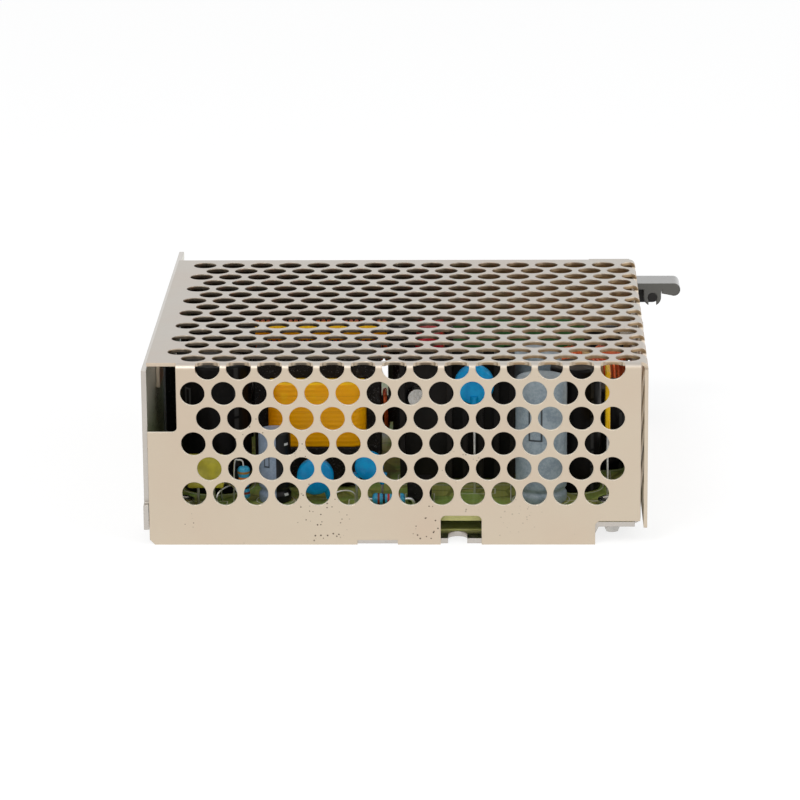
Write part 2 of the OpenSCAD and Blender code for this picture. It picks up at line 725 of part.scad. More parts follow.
module small_capacitor() {
    color("lightsteelblue") translate([small_at[0], small_at[1], top_z]) can(3.15, 14.4);
}

module film_capacitor() {
    color("firebrick") translate([film_at[0], film_at[1], top_z + 0.6])
        plate(film_size[0], film_size[1], film_size[2], 1.2);
    color("silver") translate([film_at[0], film_at[1], top_z]) rotate([0, 0, 90]) leads(15, 1);
}

module box_capacitor() {
    color("darkkhaki") translate([box_at[0], box_at[1], top_z + box_foot])
        plate(box_size[0], box_size[1], box_size[2], 0.4);
    color("silver") translate([box_at[0], box_at[1], top_z]) leads(3, box_foot + 0.5);
}

// One thin, on long wires, and one broad, down on the board
module yellow_capacitors() {
    color("goldenrod") for (i = [0, 1])
        translate([yellow_at[i][0], yellow_at[i][1], top_z + yellow_foot[i]])
            plate(yellow_size[i][0], yellow_size[i][1], yellow_size[i][2], 0.4);
    color("silver") translate([yellow_at[0][0], yellow_at[0][1], top_z]) rotate([0, 0, 90])
        leads(5, yellow_foot[0] + 0.5);
}

module disc_capacitors() {
    disc_r = [3.6, 2.8, 3.9];
    disc_h = [5.2, 7.4, 21.8];
    color("dodgerblue") for (i = [0 : 2]) translate([disc_at[i][0], disc_at[i][1], top_z])
        dipped_disc(disc_r[i], 3.2, disc_h[i]);
}

module line_choke_core() {
    foot_w = choke_side;
    color("#29292b") translate([line_choke_at[0], line_choke_at[1] + choke_arm / 2, choke_z])
        rotate([90, 0, 0]) linear_extrude(choke_arm) difference() {
            translate([-choke_w / 2, 0]) square([choke_w, choke_h]);
            translate([-choke_w / 2 + choke_side, choke_arm])
                square([choke_w - 2 * choke_side, choke_h - 2 * choke_arm]);
        }
    color("#222") for (side = [-1, 1])
        translate([line_choke_at[0] + side * (choke_w - foot_w) / 2 - foot_w / 2,
                   line_choke_at[1] - choke_arm / 2, top_z])
            cube([foot_w, choke_arm, choke_z - top_z + 0.1]);
}

module line_choke_windings() {
    turn_l = choke_w - 2 * choke_side - 0.8;
    outer = choke_arm + 2 * turn_side;
    inner = choke_arm + 0.2;
    color("peru") for (z = [choke_arm / 2, choke_h - choke_arm / 2])
        translate([line_choke_at[0] - turn_l / 2, line_choke_at[1], choke_z + z])
            rotate([90, 0, 90]) linear_extrude(turn_l) difference() {
                rounded(outer, outer, 1.5);
                rounded(inner, inner, 0.1);
            }
}

module toroid_core() {
    color("khaki") translate([toroid_at[0], toroid_at[1], top_z + 0.2 + toroid_cover]) difference() {
        cylinder(r = toroid_r - toroid_cover, h = toroid_h - 2 * toroid_cover);
        translate([0, 0, -1]) cylinder(r = toroid_in + toroid_cover, h = toroid_h);
    }
}

// Wound jacket round the core, open on a short stretch at the back
module toroid_winding() {
    inner = 0.1;
    core_w = toroid_r - toroid_in - 2 * toroid_cover;
    core_h = toroid_h - 2 * toroid_cover;
    color("chocolate") translate([toroid_at[0], toroid_at[1], top_z + 0.2 + toroid_h / 2])
        rotate([0, 0, 90 + toroid_open / 2]) rotate_extrude(angle = 360 - toroid_open) difference() {
            translate([(toroid_r + toroid_in) / 2, 0])
                rounded(toroid_r - toroid_in, toroid_h, 1.2);
            translate([toroid_in + toroid_cover - inner, -core_h / 2 - inner])
                square([core_w + 2 * inner, core_h + 2 * inner]);
        }
    // wire ends down to the board
    color("chocolate") for (side = [-1, 1])
        translate([toroid_at[0] + side * 3.4, toroid_at[1] + 5, top_z]) cylinder(r = 0.6, h = 1.4, $fn = 24);
}

module fuse_tube() {
    length = 20;
    color("lightcyan") translate([fuse_at[0] - length / 2, fuse_at[1], top_z + 5]) rotate([0, 90, 0]) {
        cylinder(r = 2.4, h = length);
        for (end = [0, length - 5]) translate([0, 0, end]) cylinder(r = 2.6, h = 5);
    }
}

module fuse_clips() {
    color("silver") for (x = [-7.4, 7.4]) translate([fuse_at[0] + x - 1.6, fuse_at[1], top_z])
        rotate([90, 0, 90]) linear_extrude(3.2) {
            difference() {
                translate([0, 5]) circle(3.1);
                translate([0, 5]) circle(2.61);
                translate([-2, 6.4]) square([4, 3]);
            }
            translate([-2.6, 0]) square([5.2, 0.5]);
            translate([-0.4, 0]) square([0.8, 2.2]);
        }
}

module bridge_rectifier() {
    color("#1d1d1f") translate([bridge_at[0], bridge_at[1], top_z + 2.5]) rotate([90, 0, 0])
        linear_extrude(4.4, center = true) difference() {
            polygon([[-10, 0], [10, 0], [10, 14], [-8, 14], [-10, 12]]);
            translate([0, 9]) circle(1.7);
        }
    color("silver") for (k = [-1.5 : 1 : 1.5]) translate([bridge_at[0] + k * 5, bridge_at[1], top_z])
        cylinder(r = 0.5, h = 3, $fn = 24);
}

module varistor() {
    color("darkorange") translate([varistor_at[0], varistor_at[1], top_z]) dipped_disc(6.6, 4, 11.5);
}

module thermistor() {
    color("darkslategray") translate([thermistor_at[0], thermistor_at[1], top_z]) dipped_disc(5.6, 4, 9.5);
}

// Transistor clamped to the wall through a thin pad
module switching_transistor() {
    color("#1a1a1a") difference() {
        translate([wall_in_x + pad_t, transistor_y - transistor_w / 2, transistor_z])
            cube([transistor_t, transistor_w, transistor_h]);
        translate([wall_in_x, transistor_y, transistor_hole_z]) rotate([0, 90, 0])
            cylinder(r = screw_r + 0.05, h = 8);
    }
    color("silver") for (k = [-1 : 1])
        translate([wall_in_x + pad_t + transistor_t / 2, transistor_y + k * lead_pitch, top_z])
            cylinder(r = 0.4, h = 4.2, $fn = 24);
}

module transistor_pad() {
    color("slategray") difference() {
        translate([wall_in_x, transistor_y - transistor_w / 2 - 1, transistor_z - 1])
            cube([pad_t, transistor_w + 2, transistor_h + 2]);
        translate([wall_in_x - 1, transistor_y, transistor_hole_z]) rotate([0, 90, 0])
            cylinder(r = screw_r + 0.05, h = 3);
    }
}

module transistor_screw() {
    color("silver") translate([left_x, transistor_y, transistor_hole_z]) rotate([0, 90, 0]) {
        cylinder(r = screw_r, h = chassis_t + pad_t + transistor_t + 0.6);
        translate([0, 0, chassis_t + pad_t + transistor_t]) cylinder(r1 = 2.8, r2 = 2.2, h = 1.8);
    }
}

// Finned strip standing across the board, with the rectifier on its back
module heatsink() {
    fin_d = 4;
    fin_t = 1;
    screw_fin = 1;
    color("#202022") translate([heatsink_at[0], heatsink_at[1], top_z + 0.2]) difference() {
        linear_extrude(heatsink_top - top_z - 0.2) {
            translate([-heatsink_w / 2, 0]) square([heatsink_w, heatsink_t]);
            for (k = [0 : fin_count - 1])
                if (k != screw_fin && k != screw_fin + 1)
                    translate([-heatsink_w / 2 + k * (heatsink_w - fin_t) / (fin_count - 1), -fin_d])
                        square([fin_t, fin_d + 0.1]);
        }
        translate([rectifier_x - heatsink_at[0], -1, rectifier_hole_z - top_z - 0.2]) rotate([-90, 0, 0])
            cylinder(r = screw_r + 0.05, h = heatsink_t + 2);
    }
}

module output_rectifier() {
    color("#1a1a1a") difference() {
        translate([rectifier_x - 4, rectifier_y, top_z + 4]) cube([transistor_w, transistor_t, transistor_h]);
        translate([rectifier_x, rectifier_y - 1, rectifier_hole_z]) rotate([-90, 0, 0])
            cylinder(r = screw_r, h = 8);
    }
    color("silver") for (k = [-1 : 1])
        translate([rectifier_x + 1 + k * lead_pitch, rectifier_y + transistor_t / 2, top_z])
            cylinder(r = 0.4, h = 4.2, $fn = 24);
}

module rectifier_screw() {
    color("white") translate([rectifier_x, heatsink_at[1], rectifier_hole_z]) rotate([90, 0, 0]) {
        cylinder(r1 = 2.25, r2 = 1.8, h = 1.8);
        translate([0, 0, -6]) cylinder(r = screw_r, h = 6.1);
    }
}

module control_board() {
    color("#1f4d2b") translate([control_at[0] - control_w / 2, control_at[1], top_z])
        cube([control_w, 1.4, 22.6]);
}

module control_chip() {
    color("#1a1a1a") translate([control_at[0] - 3, control_at[1] - 1.7, top_z + 12]) cube([6, 1.7, 5]);
}

module optocoupler() {
    color("#1a1a1a") translate([optocoupler_at[0], optocoupler_at[1], top_z + 0.6]) plate(4.6, 6.4, 3.4, 0.3);
    color("silver") for (x = [-1, 1], y = [-1, 1])
        translate([optocoupler_at[0] + x * 1.9, optocoupler_at[1] + y * 1.27, top_z])
            cylinder(r = 0.3, h = 0.8, $fn = 24);
}

// Small film resistors: one standing, one lying along X
module resistors() {
    standing_at = at(-29.6, -40.6);
    lying_at = at(-1.4, -43);
    color("lightskyblue") {
        translate([standing_at[0], standing_at[1], top_z + 1.6]) cylinder(r = 1.2, h = 6);
        translate([standing_at[0], standing_at[1], top_z]) cylinder(r = 0.35, h = 2, $fn = 24);
        translate([lying_at[0], lying_at[1], top_z + 1.6]) rotate([0, 90, 0])
            cylinder(r = 1.2, h = 5.6, center = true);
        translate([lying_at[0], lying_at[1], top_z]) leads(4.4, 1);
    }
}

chassis();
mesh_cover();
cover_screws();
insulation_sheet();
circuit_board();
board_screws();
terminal_block();
terminal_contacts();
terminal_clamps();
terminal_screws();
hinge_pin();
terminal_cover();
trimmer_body();
trimmer_rotor();
indicator_lamp();
transformer_core();
transformer_coil();
bulk_capacitor();
output_capacitors();
black_capacitors();
small_capacitor();
film_capacitor();
box_capacitor();
yellow_capacitors();
disc_capacitors();
line_choke_core();
line_choke_windings();
toroid_core();
toroid_winding();
fuse_tube();
fuse_clips();
bridge_rectifier();
varistor();
thermistor();
switching_transistor();
transistor_pad();
transistor_screw();
heatsink();
output_rectifier();
rectifier_screw();
control_board();
control_chip();
optocoupler();
resistors();
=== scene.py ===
# Enclosed switching power supply: folded sheet case, perforated cover and the parts seen through it.
import bpy
import math
import numpy as np
from mathutils import Matrix, Vector


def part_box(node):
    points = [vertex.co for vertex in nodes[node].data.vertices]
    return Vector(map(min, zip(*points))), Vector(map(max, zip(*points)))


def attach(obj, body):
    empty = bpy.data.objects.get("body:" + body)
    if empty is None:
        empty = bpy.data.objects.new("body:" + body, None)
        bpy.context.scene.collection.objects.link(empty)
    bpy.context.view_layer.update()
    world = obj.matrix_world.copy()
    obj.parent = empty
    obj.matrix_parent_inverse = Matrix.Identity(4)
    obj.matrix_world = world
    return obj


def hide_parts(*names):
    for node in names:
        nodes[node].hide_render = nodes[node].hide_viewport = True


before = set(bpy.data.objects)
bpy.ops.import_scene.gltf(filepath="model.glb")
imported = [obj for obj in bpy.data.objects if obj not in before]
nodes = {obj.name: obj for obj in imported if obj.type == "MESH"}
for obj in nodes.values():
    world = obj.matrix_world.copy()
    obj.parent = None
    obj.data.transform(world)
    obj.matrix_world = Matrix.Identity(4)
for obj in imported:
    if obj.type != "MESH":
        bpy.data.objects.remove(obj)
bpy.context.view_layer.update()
mm = 0.001
tau = 2 * math.pi


class Term:
    # one output socket, on which + - * / ** add Math nodes
    def __init__(self, look, socket):
        self.look, self.socket = look, socket

    def math(self, operation, *others):
        return self.look.node("Math", dict(operation=operation), (self, *others))

    def __abs__(self):
        return self.math("ABSOLUTE")

    def above(self, edge, soft):
        return self.look.step(self, edge - soft, edge + soft)

    def below(self, edge, soft):
        return 1 - self.above(edge, soft)


def arithmetic(operation, swapped=False):
    # the method behind + - * / or **, which adds one Math node
    def method(self, other):
        values = (other, self) if swapped else (self, other)
        return self.look.node("Math", dict(operation=operation), values)
    return method


for sign, operation in (("add", "ADD"), ("sub", "SUBTRACT"), ("mul", "MULTIPLY"), ("truediv", "DIVIDE"),
                        ("pow", "POWER")):
    setattr(Term, "__" + sign + "__", arithmetic(operation))
    setattr(Term, "__r" + sign + "__", arithmetic(operation, True))


def srgb(*values):
    # screen colour in 0..255 to a linear colour
    out = [(v / 255 / 12.92) if v <= 10 else ((v / 255 + 0.055) / 1.055) ** 2.4 for v in values]
    return (*out, 1.0)


class Look:
    # one material and the nodes that feed its Principled shader
    def __init__(self, name, **constants):
        self.material = bpy.data.materials.new(name)
        self.material.use_nodes = True
        self.tree = self.material.node_tree
        self.tree.nodes.clear()
        self.output = self.tree.nodes.new("ShaderNodeOutputMaterial")
        self.shader = self.tree.nodes.new("ShaderNodeBsdfPrincipled")
        self.tree.links.new(self.shader.outputs[0], self.output.inputs[0])
        for socket, value in constants.items():
            self.feed(socket, value)
        self.place = self.node("TexCoord", {}, (), "Object")

    def feed(self, socket, value):
        socket = {"color": "Base Color", "roughness": "Roughness", "metallic": "Metallic",
                  "coat": "Coat Weight", "coatRoughness": "Coat Roughness", "ior": "IOR",
                  "transmission": "Transmission Weight", "normal": "Normal",
                  "specular": "Specular IOR Level"}[socket]
        self.put(self.shader.inputs[socket], value)
        return self

    def put(self, socket, value):
        if isinstance(value, Term):
            self.tree.links.new(value.socket, socket)
        else:
            socket.default_value = value

    def node(self, kind, settings, values, result=0):
        made = self.tree.nodes.new("ShaderNode" + kind)
        for key, value in settings.items():
            setattr(made, key, value)
        pairs = values.items() if isinstance(values, dict) else enumerate(values)
        for key, value in pairs:
            self.put(made.inputs[key], value)
        return Term(self, made.outputs[result])

    def scaled(self, x, y, z):
        return self.node("Mapping", {}, {"Vector": self.place, "Scale": (x, y, z)})

    def noise(self, size, detail=3.0, rough=0.55, vector=None):
        # size: blotch size in mm
        return self.node("TexNoise", {}, {"Vector": vector or self.place, "Scale": 1000.0 / size,
                                          "Detail": detail, "Roughness": rough})

    def cells(self, size, feature="F1"):
        return self.node("TexVoronoi", dict(feature=feature), {"Vector": self.place, "Scale": 1000.0 / size})

    def step(self, value, low, high):
        return self.node("MapRange", dict(interpolation_type="SMOOTHSTEP"), (value, low, high, 0.0, 1.0))

    def mix(self, factor, first, second):
        return self.node("Mix", dict(data_type="RGBA"), {0: factor, 6: first, 7: second}, 2)

    def bump(self, height, depth, normal=None):
        # depth in mm for a height of 1
        values = {"Height": height, "Distance": depth * mm, "Strength": 1.0}
        if normal:
            values["Normal"] = normal
        return self.node("Bump", {}, values)

    def rounded(self, radius):
        # softened edges, radius in mm
        return self.node("Bevel", dict(samples=4), {"Radius": radius * mm})

    def axis(self, index):
        return self.node("SeparateXYZ", {}, (self.place,), index)

    def facing(self, index):
        # one component of the surface's own normal
        return self.node("SeparateXYZ", {}, (self.node("NewGeometry", {}, (), "Normal"),), index)

    def uv(self, index):
        made = self.node("UVMap", dict(uv_map="own"), ())
        return self.node("SeparateXYZ", {}, (made,), index)


looks = {}


def keep(name, look):
    looks[name] = look.material
    return look


# painted light and shade in these tones: front and top paint one sheet apart by facing, inside and
# insideRight are painted shade turning to a painted reflected brown, rim is a painted highlight
coverSettings = dict(front=srgb(208, 194, 174), top=srgb(189, 184, 176), stain=srgb(200, 166, 146),
                     pit=srgb(64, 54, 46), roughness=0.30, edge=0.13, inside=srgb(50, 42, 34),
                     insideRight=srgb(150, 122, 86), rim=srgb(240, 232, 216),
                     foldY=33.5, foldTop=35.2, wallY=(-47.6, 33.4), wallZ=(35.0, 35.76), rimY=-48.2,
                     rimTop=34.2,
                     pitted=[((-14.0, 5.6), 7.5, 1.0), ((-15.5, 10.0), 4.0, 0.7), ((6.0, 3.5), 4.5, 0.8),
                             ((24.0, 6.6), 9.0, 0.35), ((-39.0, 4.0), 3.5, 0.8), ((-17.0, 18.5), 3.0, 1.0)])


def coverLook(name, tones):
    # nickel-plated sheet: faint blotches, fine streaks of rolling, pits and hairlines; painted light by
    # facing, and painted shade, highlights and reflections in and around the holes where the settings give
    # them
    look = keep(name, Look(name))
    facing = look.facing(2)
    cloud = look.noise(26, 4, 0.6)
    grain = look.noise(0.35, 2, 0.6, look.scaled(0.15, 1, 1))
    speck = look.noise(0.22, 2, 0.5)
    # painted light: the front and top faces of the one sheet get two tones by facing, standing in for how
    # each catches the light
    base = look.mix(look.step(facing, 0.2, 0.9), tones["front"], tones["top"])
    base = look.mix(look.step(cloud, 0.35, 0.75) * 0.16, base, tones["stain"])
    base = look.mix(look.step(speck, 0.62, 0.8) * 0.10, base, tones["pit"])
    x, z = look.axis(0) * 1000, look.axis(2) * 1000
    pitted = look.step(look.noise(9, 2), 0.60, 0.74) * 0.5
    for (px, pz), reach, strength in tones.get("pitted", ()):
        away = ((x - px) ** 2 + (z - pz) ** 2) ** 0.5
        pitted = pitted.math("MAXIMUM", (1 - look.step(away, reach * 0.3, reach)) * strength)
    size = look.noise(2.2, 1) * 0.36
    pits = look.step(size - look.cells(0.85), -0.01, 0.04) * look.step(pitted, 0.2, 0.6)
    base = look.mix(look.step(pitted, 0.5, 1.0) * look.step(cloud, 0.4, 0.6) * 0.12, base, tones["stain"])
    base = look.mix(pits * 0.85, base, tones["pit"])
    hair = look.step(look.noise(0.5, 1, 0.5, look.scaled(0.02, 1, 0.5)), 0.74, 0.78) * 0.12
    base = look.mix(hair, base, (1, 1, 1, 1))
    roughness, metal = tones["roughness"] + grain * 0.10 + cloud * 0.08, 1.0
    if "inside" in tones:
        # painted shade: the back flange's inner face and the lower part of each top hole's wall are painted
        # dark, with a painted reflected brown towards the right, and made rougher; the front holes' walls get
        # a painted cream highlight
        y = look.axis(1) * 1000
        forward = look.facing(1)
        upright = abs(facing).below(0.5, 0.1)
        (wallFront, wallBack), (wallFoot, wallTop) = tones["wallY"], tones["wallZ"]
        within = y.above(tones["foldY"], 0.2) * forward.below(-0.5, 0.1) * z.below(tones["foldTop"], 0.1)
        wall = upright * y.below(wallBack, 0.2) * y.above(wallFront, 0.2)
        wall = wall * z.below(wallTop, 0.08) * z.above(wallFoot, 0.1)
        rim = y.below(tones["rimY"], 0.1) * abs(forward).below(0.6, 0.1) * z.below(tones["rimTop"], 0.2)
        # painted shade, with a painted reflected brown towards the right
        rightward = look.step(x + look.noise(14) * 16, 4.0, 40.0)
        insideShade = look.mix(rightward, tones["inside"], tones["insideRight"])
        base = look.mix((within + wall * 0.85).math("MINIMUM", 1.0), base, insideShade)
        # painted highlight: the front holes' walls are painted a bright cream
        base = look.mix(rim * 0.9, base, tones["rim"])
        roughness, metal = roughness + rim * 0.3 + within * 0.2, 1 - rim * 0.65
    if "wallUp" in tones:
        # painted reflection: the wall's inner face is painted a light tone under the cover and green lower
        # down, where it mirrors the board, and made less metallic there
        inner = look.facing(0).above(0.6, 0.1) * x.below(tones["innerX"], 0.2)
        inner = inner * z.above(tones["innerFoot"], 1.0)
        boardReflection = look.mix(look.step(z, *tones["fade"]), tones["wallDown"], tones["wallUp"])
        base = look.mix(inner * 0.85, base, boardReflection)
        metal = 1 - inner * 0.7
    look.feed("color", base)
    look.feed("roughness", roughness).feed("metallic", metal)
    soft = look.rounded(tones["edge"])
    look.feed("normal", look.bump(grain * 0.25 + cloud * 1.5 - pits * 2, 0.012, soft))


coverLook("coverMetal", coverSettings)
# painted light and reflection in these tones: front and top paint one sheet apart by facing, wallUp and
# wallDown paint the wall's inner face with a light tone above and the board's reflected green below
chassisSettings = dict(front=srgb(196, 190, 183), top=srgb(204, 200, 194), stain=srgb(176, 166, 152),
                       pit=srgb(96, 90, 84), roughness=0.2, edge=0.2, wallUp=srgb(226, 222, 206),
                       wallDown=srgb(96, 116, 78), innerX=-46.0, innerFoot=6.0, fade=(18.0, 32.0))
coverLook("chassisMetal", chassisSettings)


def plainMetal(name, color, roughness, spread=0.1, edge=0.12):
    look = keep(name, Look(name, metallic=1.0))
    cloud = look.noise(2.4, 3)
    fine = look.noise(0.2, 2)
    dark = tuple(c * 0.72 for c in color[:3]) + (1,)
    look.feed("color", look.mix(look.step(cloud, 0.3, 0.75), color, dark))
    look.feed("roughness", roughness + cloud * spread)
    look.feed("normal", look.bump(fine + cloud, 0.012, look.rounded(edge)))


plainMetal("screwMetal", srgb(206, 203, 198), 0.22)
plainMetal("tinMetal", srgb(226, 225, 222), 0.24, 0.16, 0.06)
plainMetal("brassMetal", srgb(206, 182, 128), 0.26)
plainMetal("canMetal", srgb(206, 209, 212), 0.28)


def coated(name, color, second, roughness, blotch, wobble, coat=0.0, edge=0.15, speckle=0.0, specular=0.2):
    # coloured coating: two near tones in blotches, a fine skin, softened edges
    look = keep(name, Look(name, coat=coat, coatRoughness=0.12, specular=specular))
    cloud = look.noise(blotch, 4, 0.6)
    skin = look.noise(0.28, 3, 0.6)
    base = look.mix(look.step(cloud, 0.32, 0.7), color, second)
    if speckle:
        base = look.mix(look.step(skin, 0.58, 0.72) * speckle, base, (0.8, 0.8, 0.8, 1))
    look.feed("color", base)
    look.feed("roughness", roughness + skin * 0.14)
    look.feed("normal", look.bump(cloud * 1.2 + skin * 0.35, wobble, look.rounded(edge)))


coated("blackMoulding", srgb(22, 21, 21), srgb(30, 28, 27), 0.34, 6, 0.01, 0.0, 0.15, specular=0.35)
coated("lidGloss", srgb(52, 50, 44), srgb(64, 62, 54), 0.10, 8, 0.012, 0.6, 0.4, specular=0.7)
coated("ferrite", srgb(24, 21, 20), srgb(34, 31, 29), 0.42, 1.6, 0.05, 0.0, 0.3, 0.12, specular=0.08)
coated("epoxyRed", srgb(190, 24, 40), srgb(150, 14, 30), 0.16, 3, 0.08, 0.15)
coated("boxOlive", srgb(196, 186, 62), srgb(172, 162, 50), 0.30, 2, 0.02, 0.2)
coated("dipYellow", srgb(246, 200, 20), srgb(226, 172, 12), 0.2, 3, 0.08, 0.1)
coated("dipBlue", srgb(0, 160, 220), srgb(0, 134, 200), 0.18, 2.4, 0.12, 0.1, 0.1, 0.0)
coated("dipOrange", srgb(214, 110, 36), srgb(186, 84, 26), 0.25, 2, 0.10, 0.3)
coated("dipDarkGreen", srgb(34, 74, 50), srgb(22, 52, 38), 0.22, 2, 0.10, 0.4)
coated("packageBlack", srgb(20, 19, 18), srgb(30, 28, 27), 0.45, 1.5, 0.03, 0.0, 0.12, 0.06, specular=0.08)
coated("padGrey", srgb(140, 142, 144), srgb(126, 128, 132), 0.7, 2, 0.02)
coated("heatsinkBlack", srgb(22, 19, 17), srgb(34, 30, 27), 0.34, 4, 0.02, 0.0, 0.12, 0.0, specular=0.16)
coated("coreCream", srgb(236, 220, 176), srgb(222, 196, 130), 0.45, 2, 0.02)
coated("trimmerBlue", srgb(40, 108, 180), srgb(34, 94, 164), 0.25, 3, 0.01, 0.2)
coated("rotorWhite", srgb(232, 226, 206), srgb(222, 214, 190), 0.35, 2, 0.01)
coated("sheetOlive", srgb(226, 226, 146), srgb(206, 208, 122), 0.26, 8, 0.05, 0.2, 0.1)
coated("boardDark", srgb(68, 122, 72), srgb(50, 98, 56), 0.3, 3, 0.02, 0.3)
coated("boardInk", srgb(226, 226, 206), srgb(206, 208, 188), 0.6, 1, 0.01)

lamp = keep("lampGreen", Look("lampGreen", roughness=0.12, transmission=0.45, ior=1.5))
lamp.feed("color", lamp.mix(lamp.step(lamp.noise(1.2), 0.3, 0.7), srgb(96, 190, 92), srgb(70, 170, 78)))
glass = keep("fuseGlass", Look("fuseGlass", transmission=1.0, ior=1.46))
glass.feed("color", (0.93, 0.97, 0.96, 1)).feed("roughness", 0.02 + glass.noise(3) * 0.05)

# printed board: solder mask over traces, with a weave that shows faintly
board = keep("boardGreen", Look("boardGreen", coat=0.12, coatRoughness=0.2, specular=0.3))
traces = board.step(board.cells(5.2, "DISTANCE_TO_EDGE"), 0.05, 0.07)
mask = board.mix(traces, srgb(122, 128, 62), srgb(164, 168, 92))
mask = board.mix(board.step(board.noise(7, 2), 0.45, 0.62) * 0.7, mask, srgb(132, 168, 82))
mask = board.mix(board.step(board.noise(3), 0.5, 0.7) * 0.4, mask, srgb(98, 90, 46))
cutEdge = abs(board.facing(2)).below(0.5, 0.1)
mask = board.mix(cutEdge * 0.85, mask, srgb(206, 204, 132))
weave = board.node("TexWave", dict(wave_type="BANDS", bands_direction="X"),
                   {"Vector": board.place, "Scale": 420.0, "Distortion": 0.6})
board.feed("color", mask).feed("roughness", 0.3 + weave * 0.08)
board.feed("normal", board.bump(traces * 1.0 + weave * 0.15, 0.03, board.rounded(0.1)))

# wrapped tape: overlapping turns seen as fine lines, with the coil showing faintly through
tape = keep("tapeYellow", Look("tapeYellow", coat=0.06, coatRoughness=0.18, specular=0.15))
tapeStep = 3.1                              # mm from one turn's edge to the next
lap = (tape.axis(2) * (1000 / tapeStep) + tape.noise(8) * 0.25).math("FRACT")
edgeLine = lap.below(0.05, 0.03)
ridges = tape.node("TexWave", dict(wave_type="BANDS", bands_direction="Z"),
                   {"Vector": tape.place, "Scale": 360.0, "Distortion": 0.3})
shade = tape.mix(ridges * 0.10, srgb(250, 172, 4), srgb(234, 146, 2))
shade = tape.mix(edgeLine * 0.35, shade, srgb(204, 130, 14))
# painted shade: the tape is painted a deeper orange towards the left
leftShade = tape.step(tape.axis(0) * 1000 + tape.noise(5) * 3, -18.0, -26.0)
shade = tape.mix(leftShade * 0.75, shade, srgb(236, 134, 0))
# painted light: the tape's upward faces are painted a brighter yellow
upward = tape.facing(2).above(0.5, 0.2)
shade = tape.mix(upward * 0.8, shade, srgb(255, 206, 28))
tape.feed("color", tape.mix(tape.step(tape.noise(4), 0.5, 0.75) * 0.4, shade, srgb(252, 204, 20)))
tape.feed("roughness", 0.24 + tape.noise(0.4) * 0.1)
tape.feed("normal", tape.bump(lap * 1.2 + ridges * 0.5 + tape.noise(3) * 1.5, 0.06))


sleeveSettings = dict(
    sleeveBlack=dict(color=srgb(13, 12, 12), second=srgb(20, 18, 18), band=srgb(52, 52, 52),
                     mark=srgb(18, 18, 18), ink=srgb(70, 70, 70), coat=0.0, specular=0.08,
                     bandAt=0.36, bandHalf=0.012, frameSpan=(0.10, 0.13), frameRise=(12.0, 21.0)),
    sleeveGrey=dict(color=srgb(160, 174, 184), second=srgb(132, 148, 160), band=srgb(20, 21, 24),
                    mark=srgb(196, 200, 204), ink=srgb(28, 30, 34), coat=0.08, specular=0.2,
                    bandAt=0.45, bandHalf=-1, frameSpan=(0.172, 0.25), frameRise=(13.2, 20.1)),
    sleeveSlim=dict(color=srgb(152, 168, 190), second=srgb(130, 146, 170), band=srgb(18, 18, 21),
                    mark=srgb(206, 208, 208), ink=srgb(34, 38, 44), coat=0.08, specular=0.2,
                    bandAt=0.385, bandHalf=0.115, frameSpan=(0.15, 0.2), frameRise=(7.5, 10.5)))


def sleeveLook(name):
    # shrunk plastic sleeve with a printed frame and, unless bandHalf is negative, a polarity band;
    # own map: u round the can, v up it in mm
    s = sleeveSettings[name]
    look = keep(name, Look(name, coat=s["coat"], coatRoughness=0.15, specular=s["specular"]))
    around, up = look.uv(0), look.uv(1)
    cloud, fine = look.noise(2.5, 4), look.noise(0.55, 4, 0.7)
    base = look.mix(look.step(cloud * 0.5 + fine * 0.5, 0.38, 0.62), s["color"], s["second"])
    (left, right), (foot, head) = s["frameSpan"], s["frameRise"]
    away = (abs(around - (left + right) / 2) - (right - left) / 2) * 30
    rise = abs(up - (foot + head) / 2) - (head - foot) / 2
    border = abs(away.math("MAXIMUM", rise)).below(0.18, 0.05)
    base = look.mix(border * 0.85, base, s["ink"])
    base = look.mix(abs(around - s["bandAt"]).below(s["bandHalf"], 0.004), base, s["band"])
    if s["bandHalf"] > 0:
        dash = abs((up / 3.4).math("FRACT") - 0.5).below(0.07, 0.02)
        dash = dash * abs(around - s["bandAt"]).below(0.026, 0.004)
        base = look.mix(dash, base, s["mark"])
    look.feed("color", base)
    look.feed("roughness", 0.24 + fine * 0.12)
    look.feed("normal", look.bump(cloud + look.noise(0.8) * 0.3, 0.05))


for name in sleeveSettings:
    sleeveLook(name)

# small resistor: blue lacquer with colour rings; own map: v along the body
resistor = keep("resistorBlue", Look("resistorBlue", coat=0.15, coatRoughness=0.12, specular=0.3))
along = resistor.uv(1)
shade = resistor.mix(resistor.step(resistor.noise(0.8), 0.3, 0.7), srgb(64, 168, 204), srgb(44, 140, 184))
for place, ring in ((0.2, srgb(120, 50, 30)), (0.36, srgb(24, 24, 24)), (0.5, srgb(190, 40, 36)),
                    (0.64, srgb(214, 120, 30)), (0.82, srgb(150, 110, 50))):
    shade = resistor.mix(abs(along - place).below(0.035, 0.006), shade, ring)
resistor.feed("color", shade).feed("roughness", 0.25 + resistor.noise(0.4) * 0.1)
resistor.feed("normal", resistor.bump(resistor.noise(0.9), 0.04))

# enamelled wire: colour differs a little from turn to turn
enamel = keep("enamelCopper", Look("enamelCopper", metallic=0.4, coat=0.25, coatRoughness=0.1, specular=0.3))
tone = enamel.step(enamel.noise(1.4, 3), 0.3, 0.7)
enamel.feed("color", enamel.mix(tone, srgb(224, 112, 58), srgb(196, 74, 36)))
enamel.feed("roughness", 0.24 + tone * 0.1).feed("normal", enamel.bump(enamel.noise(0.3), 0.01))
print("materials:", len(looks))


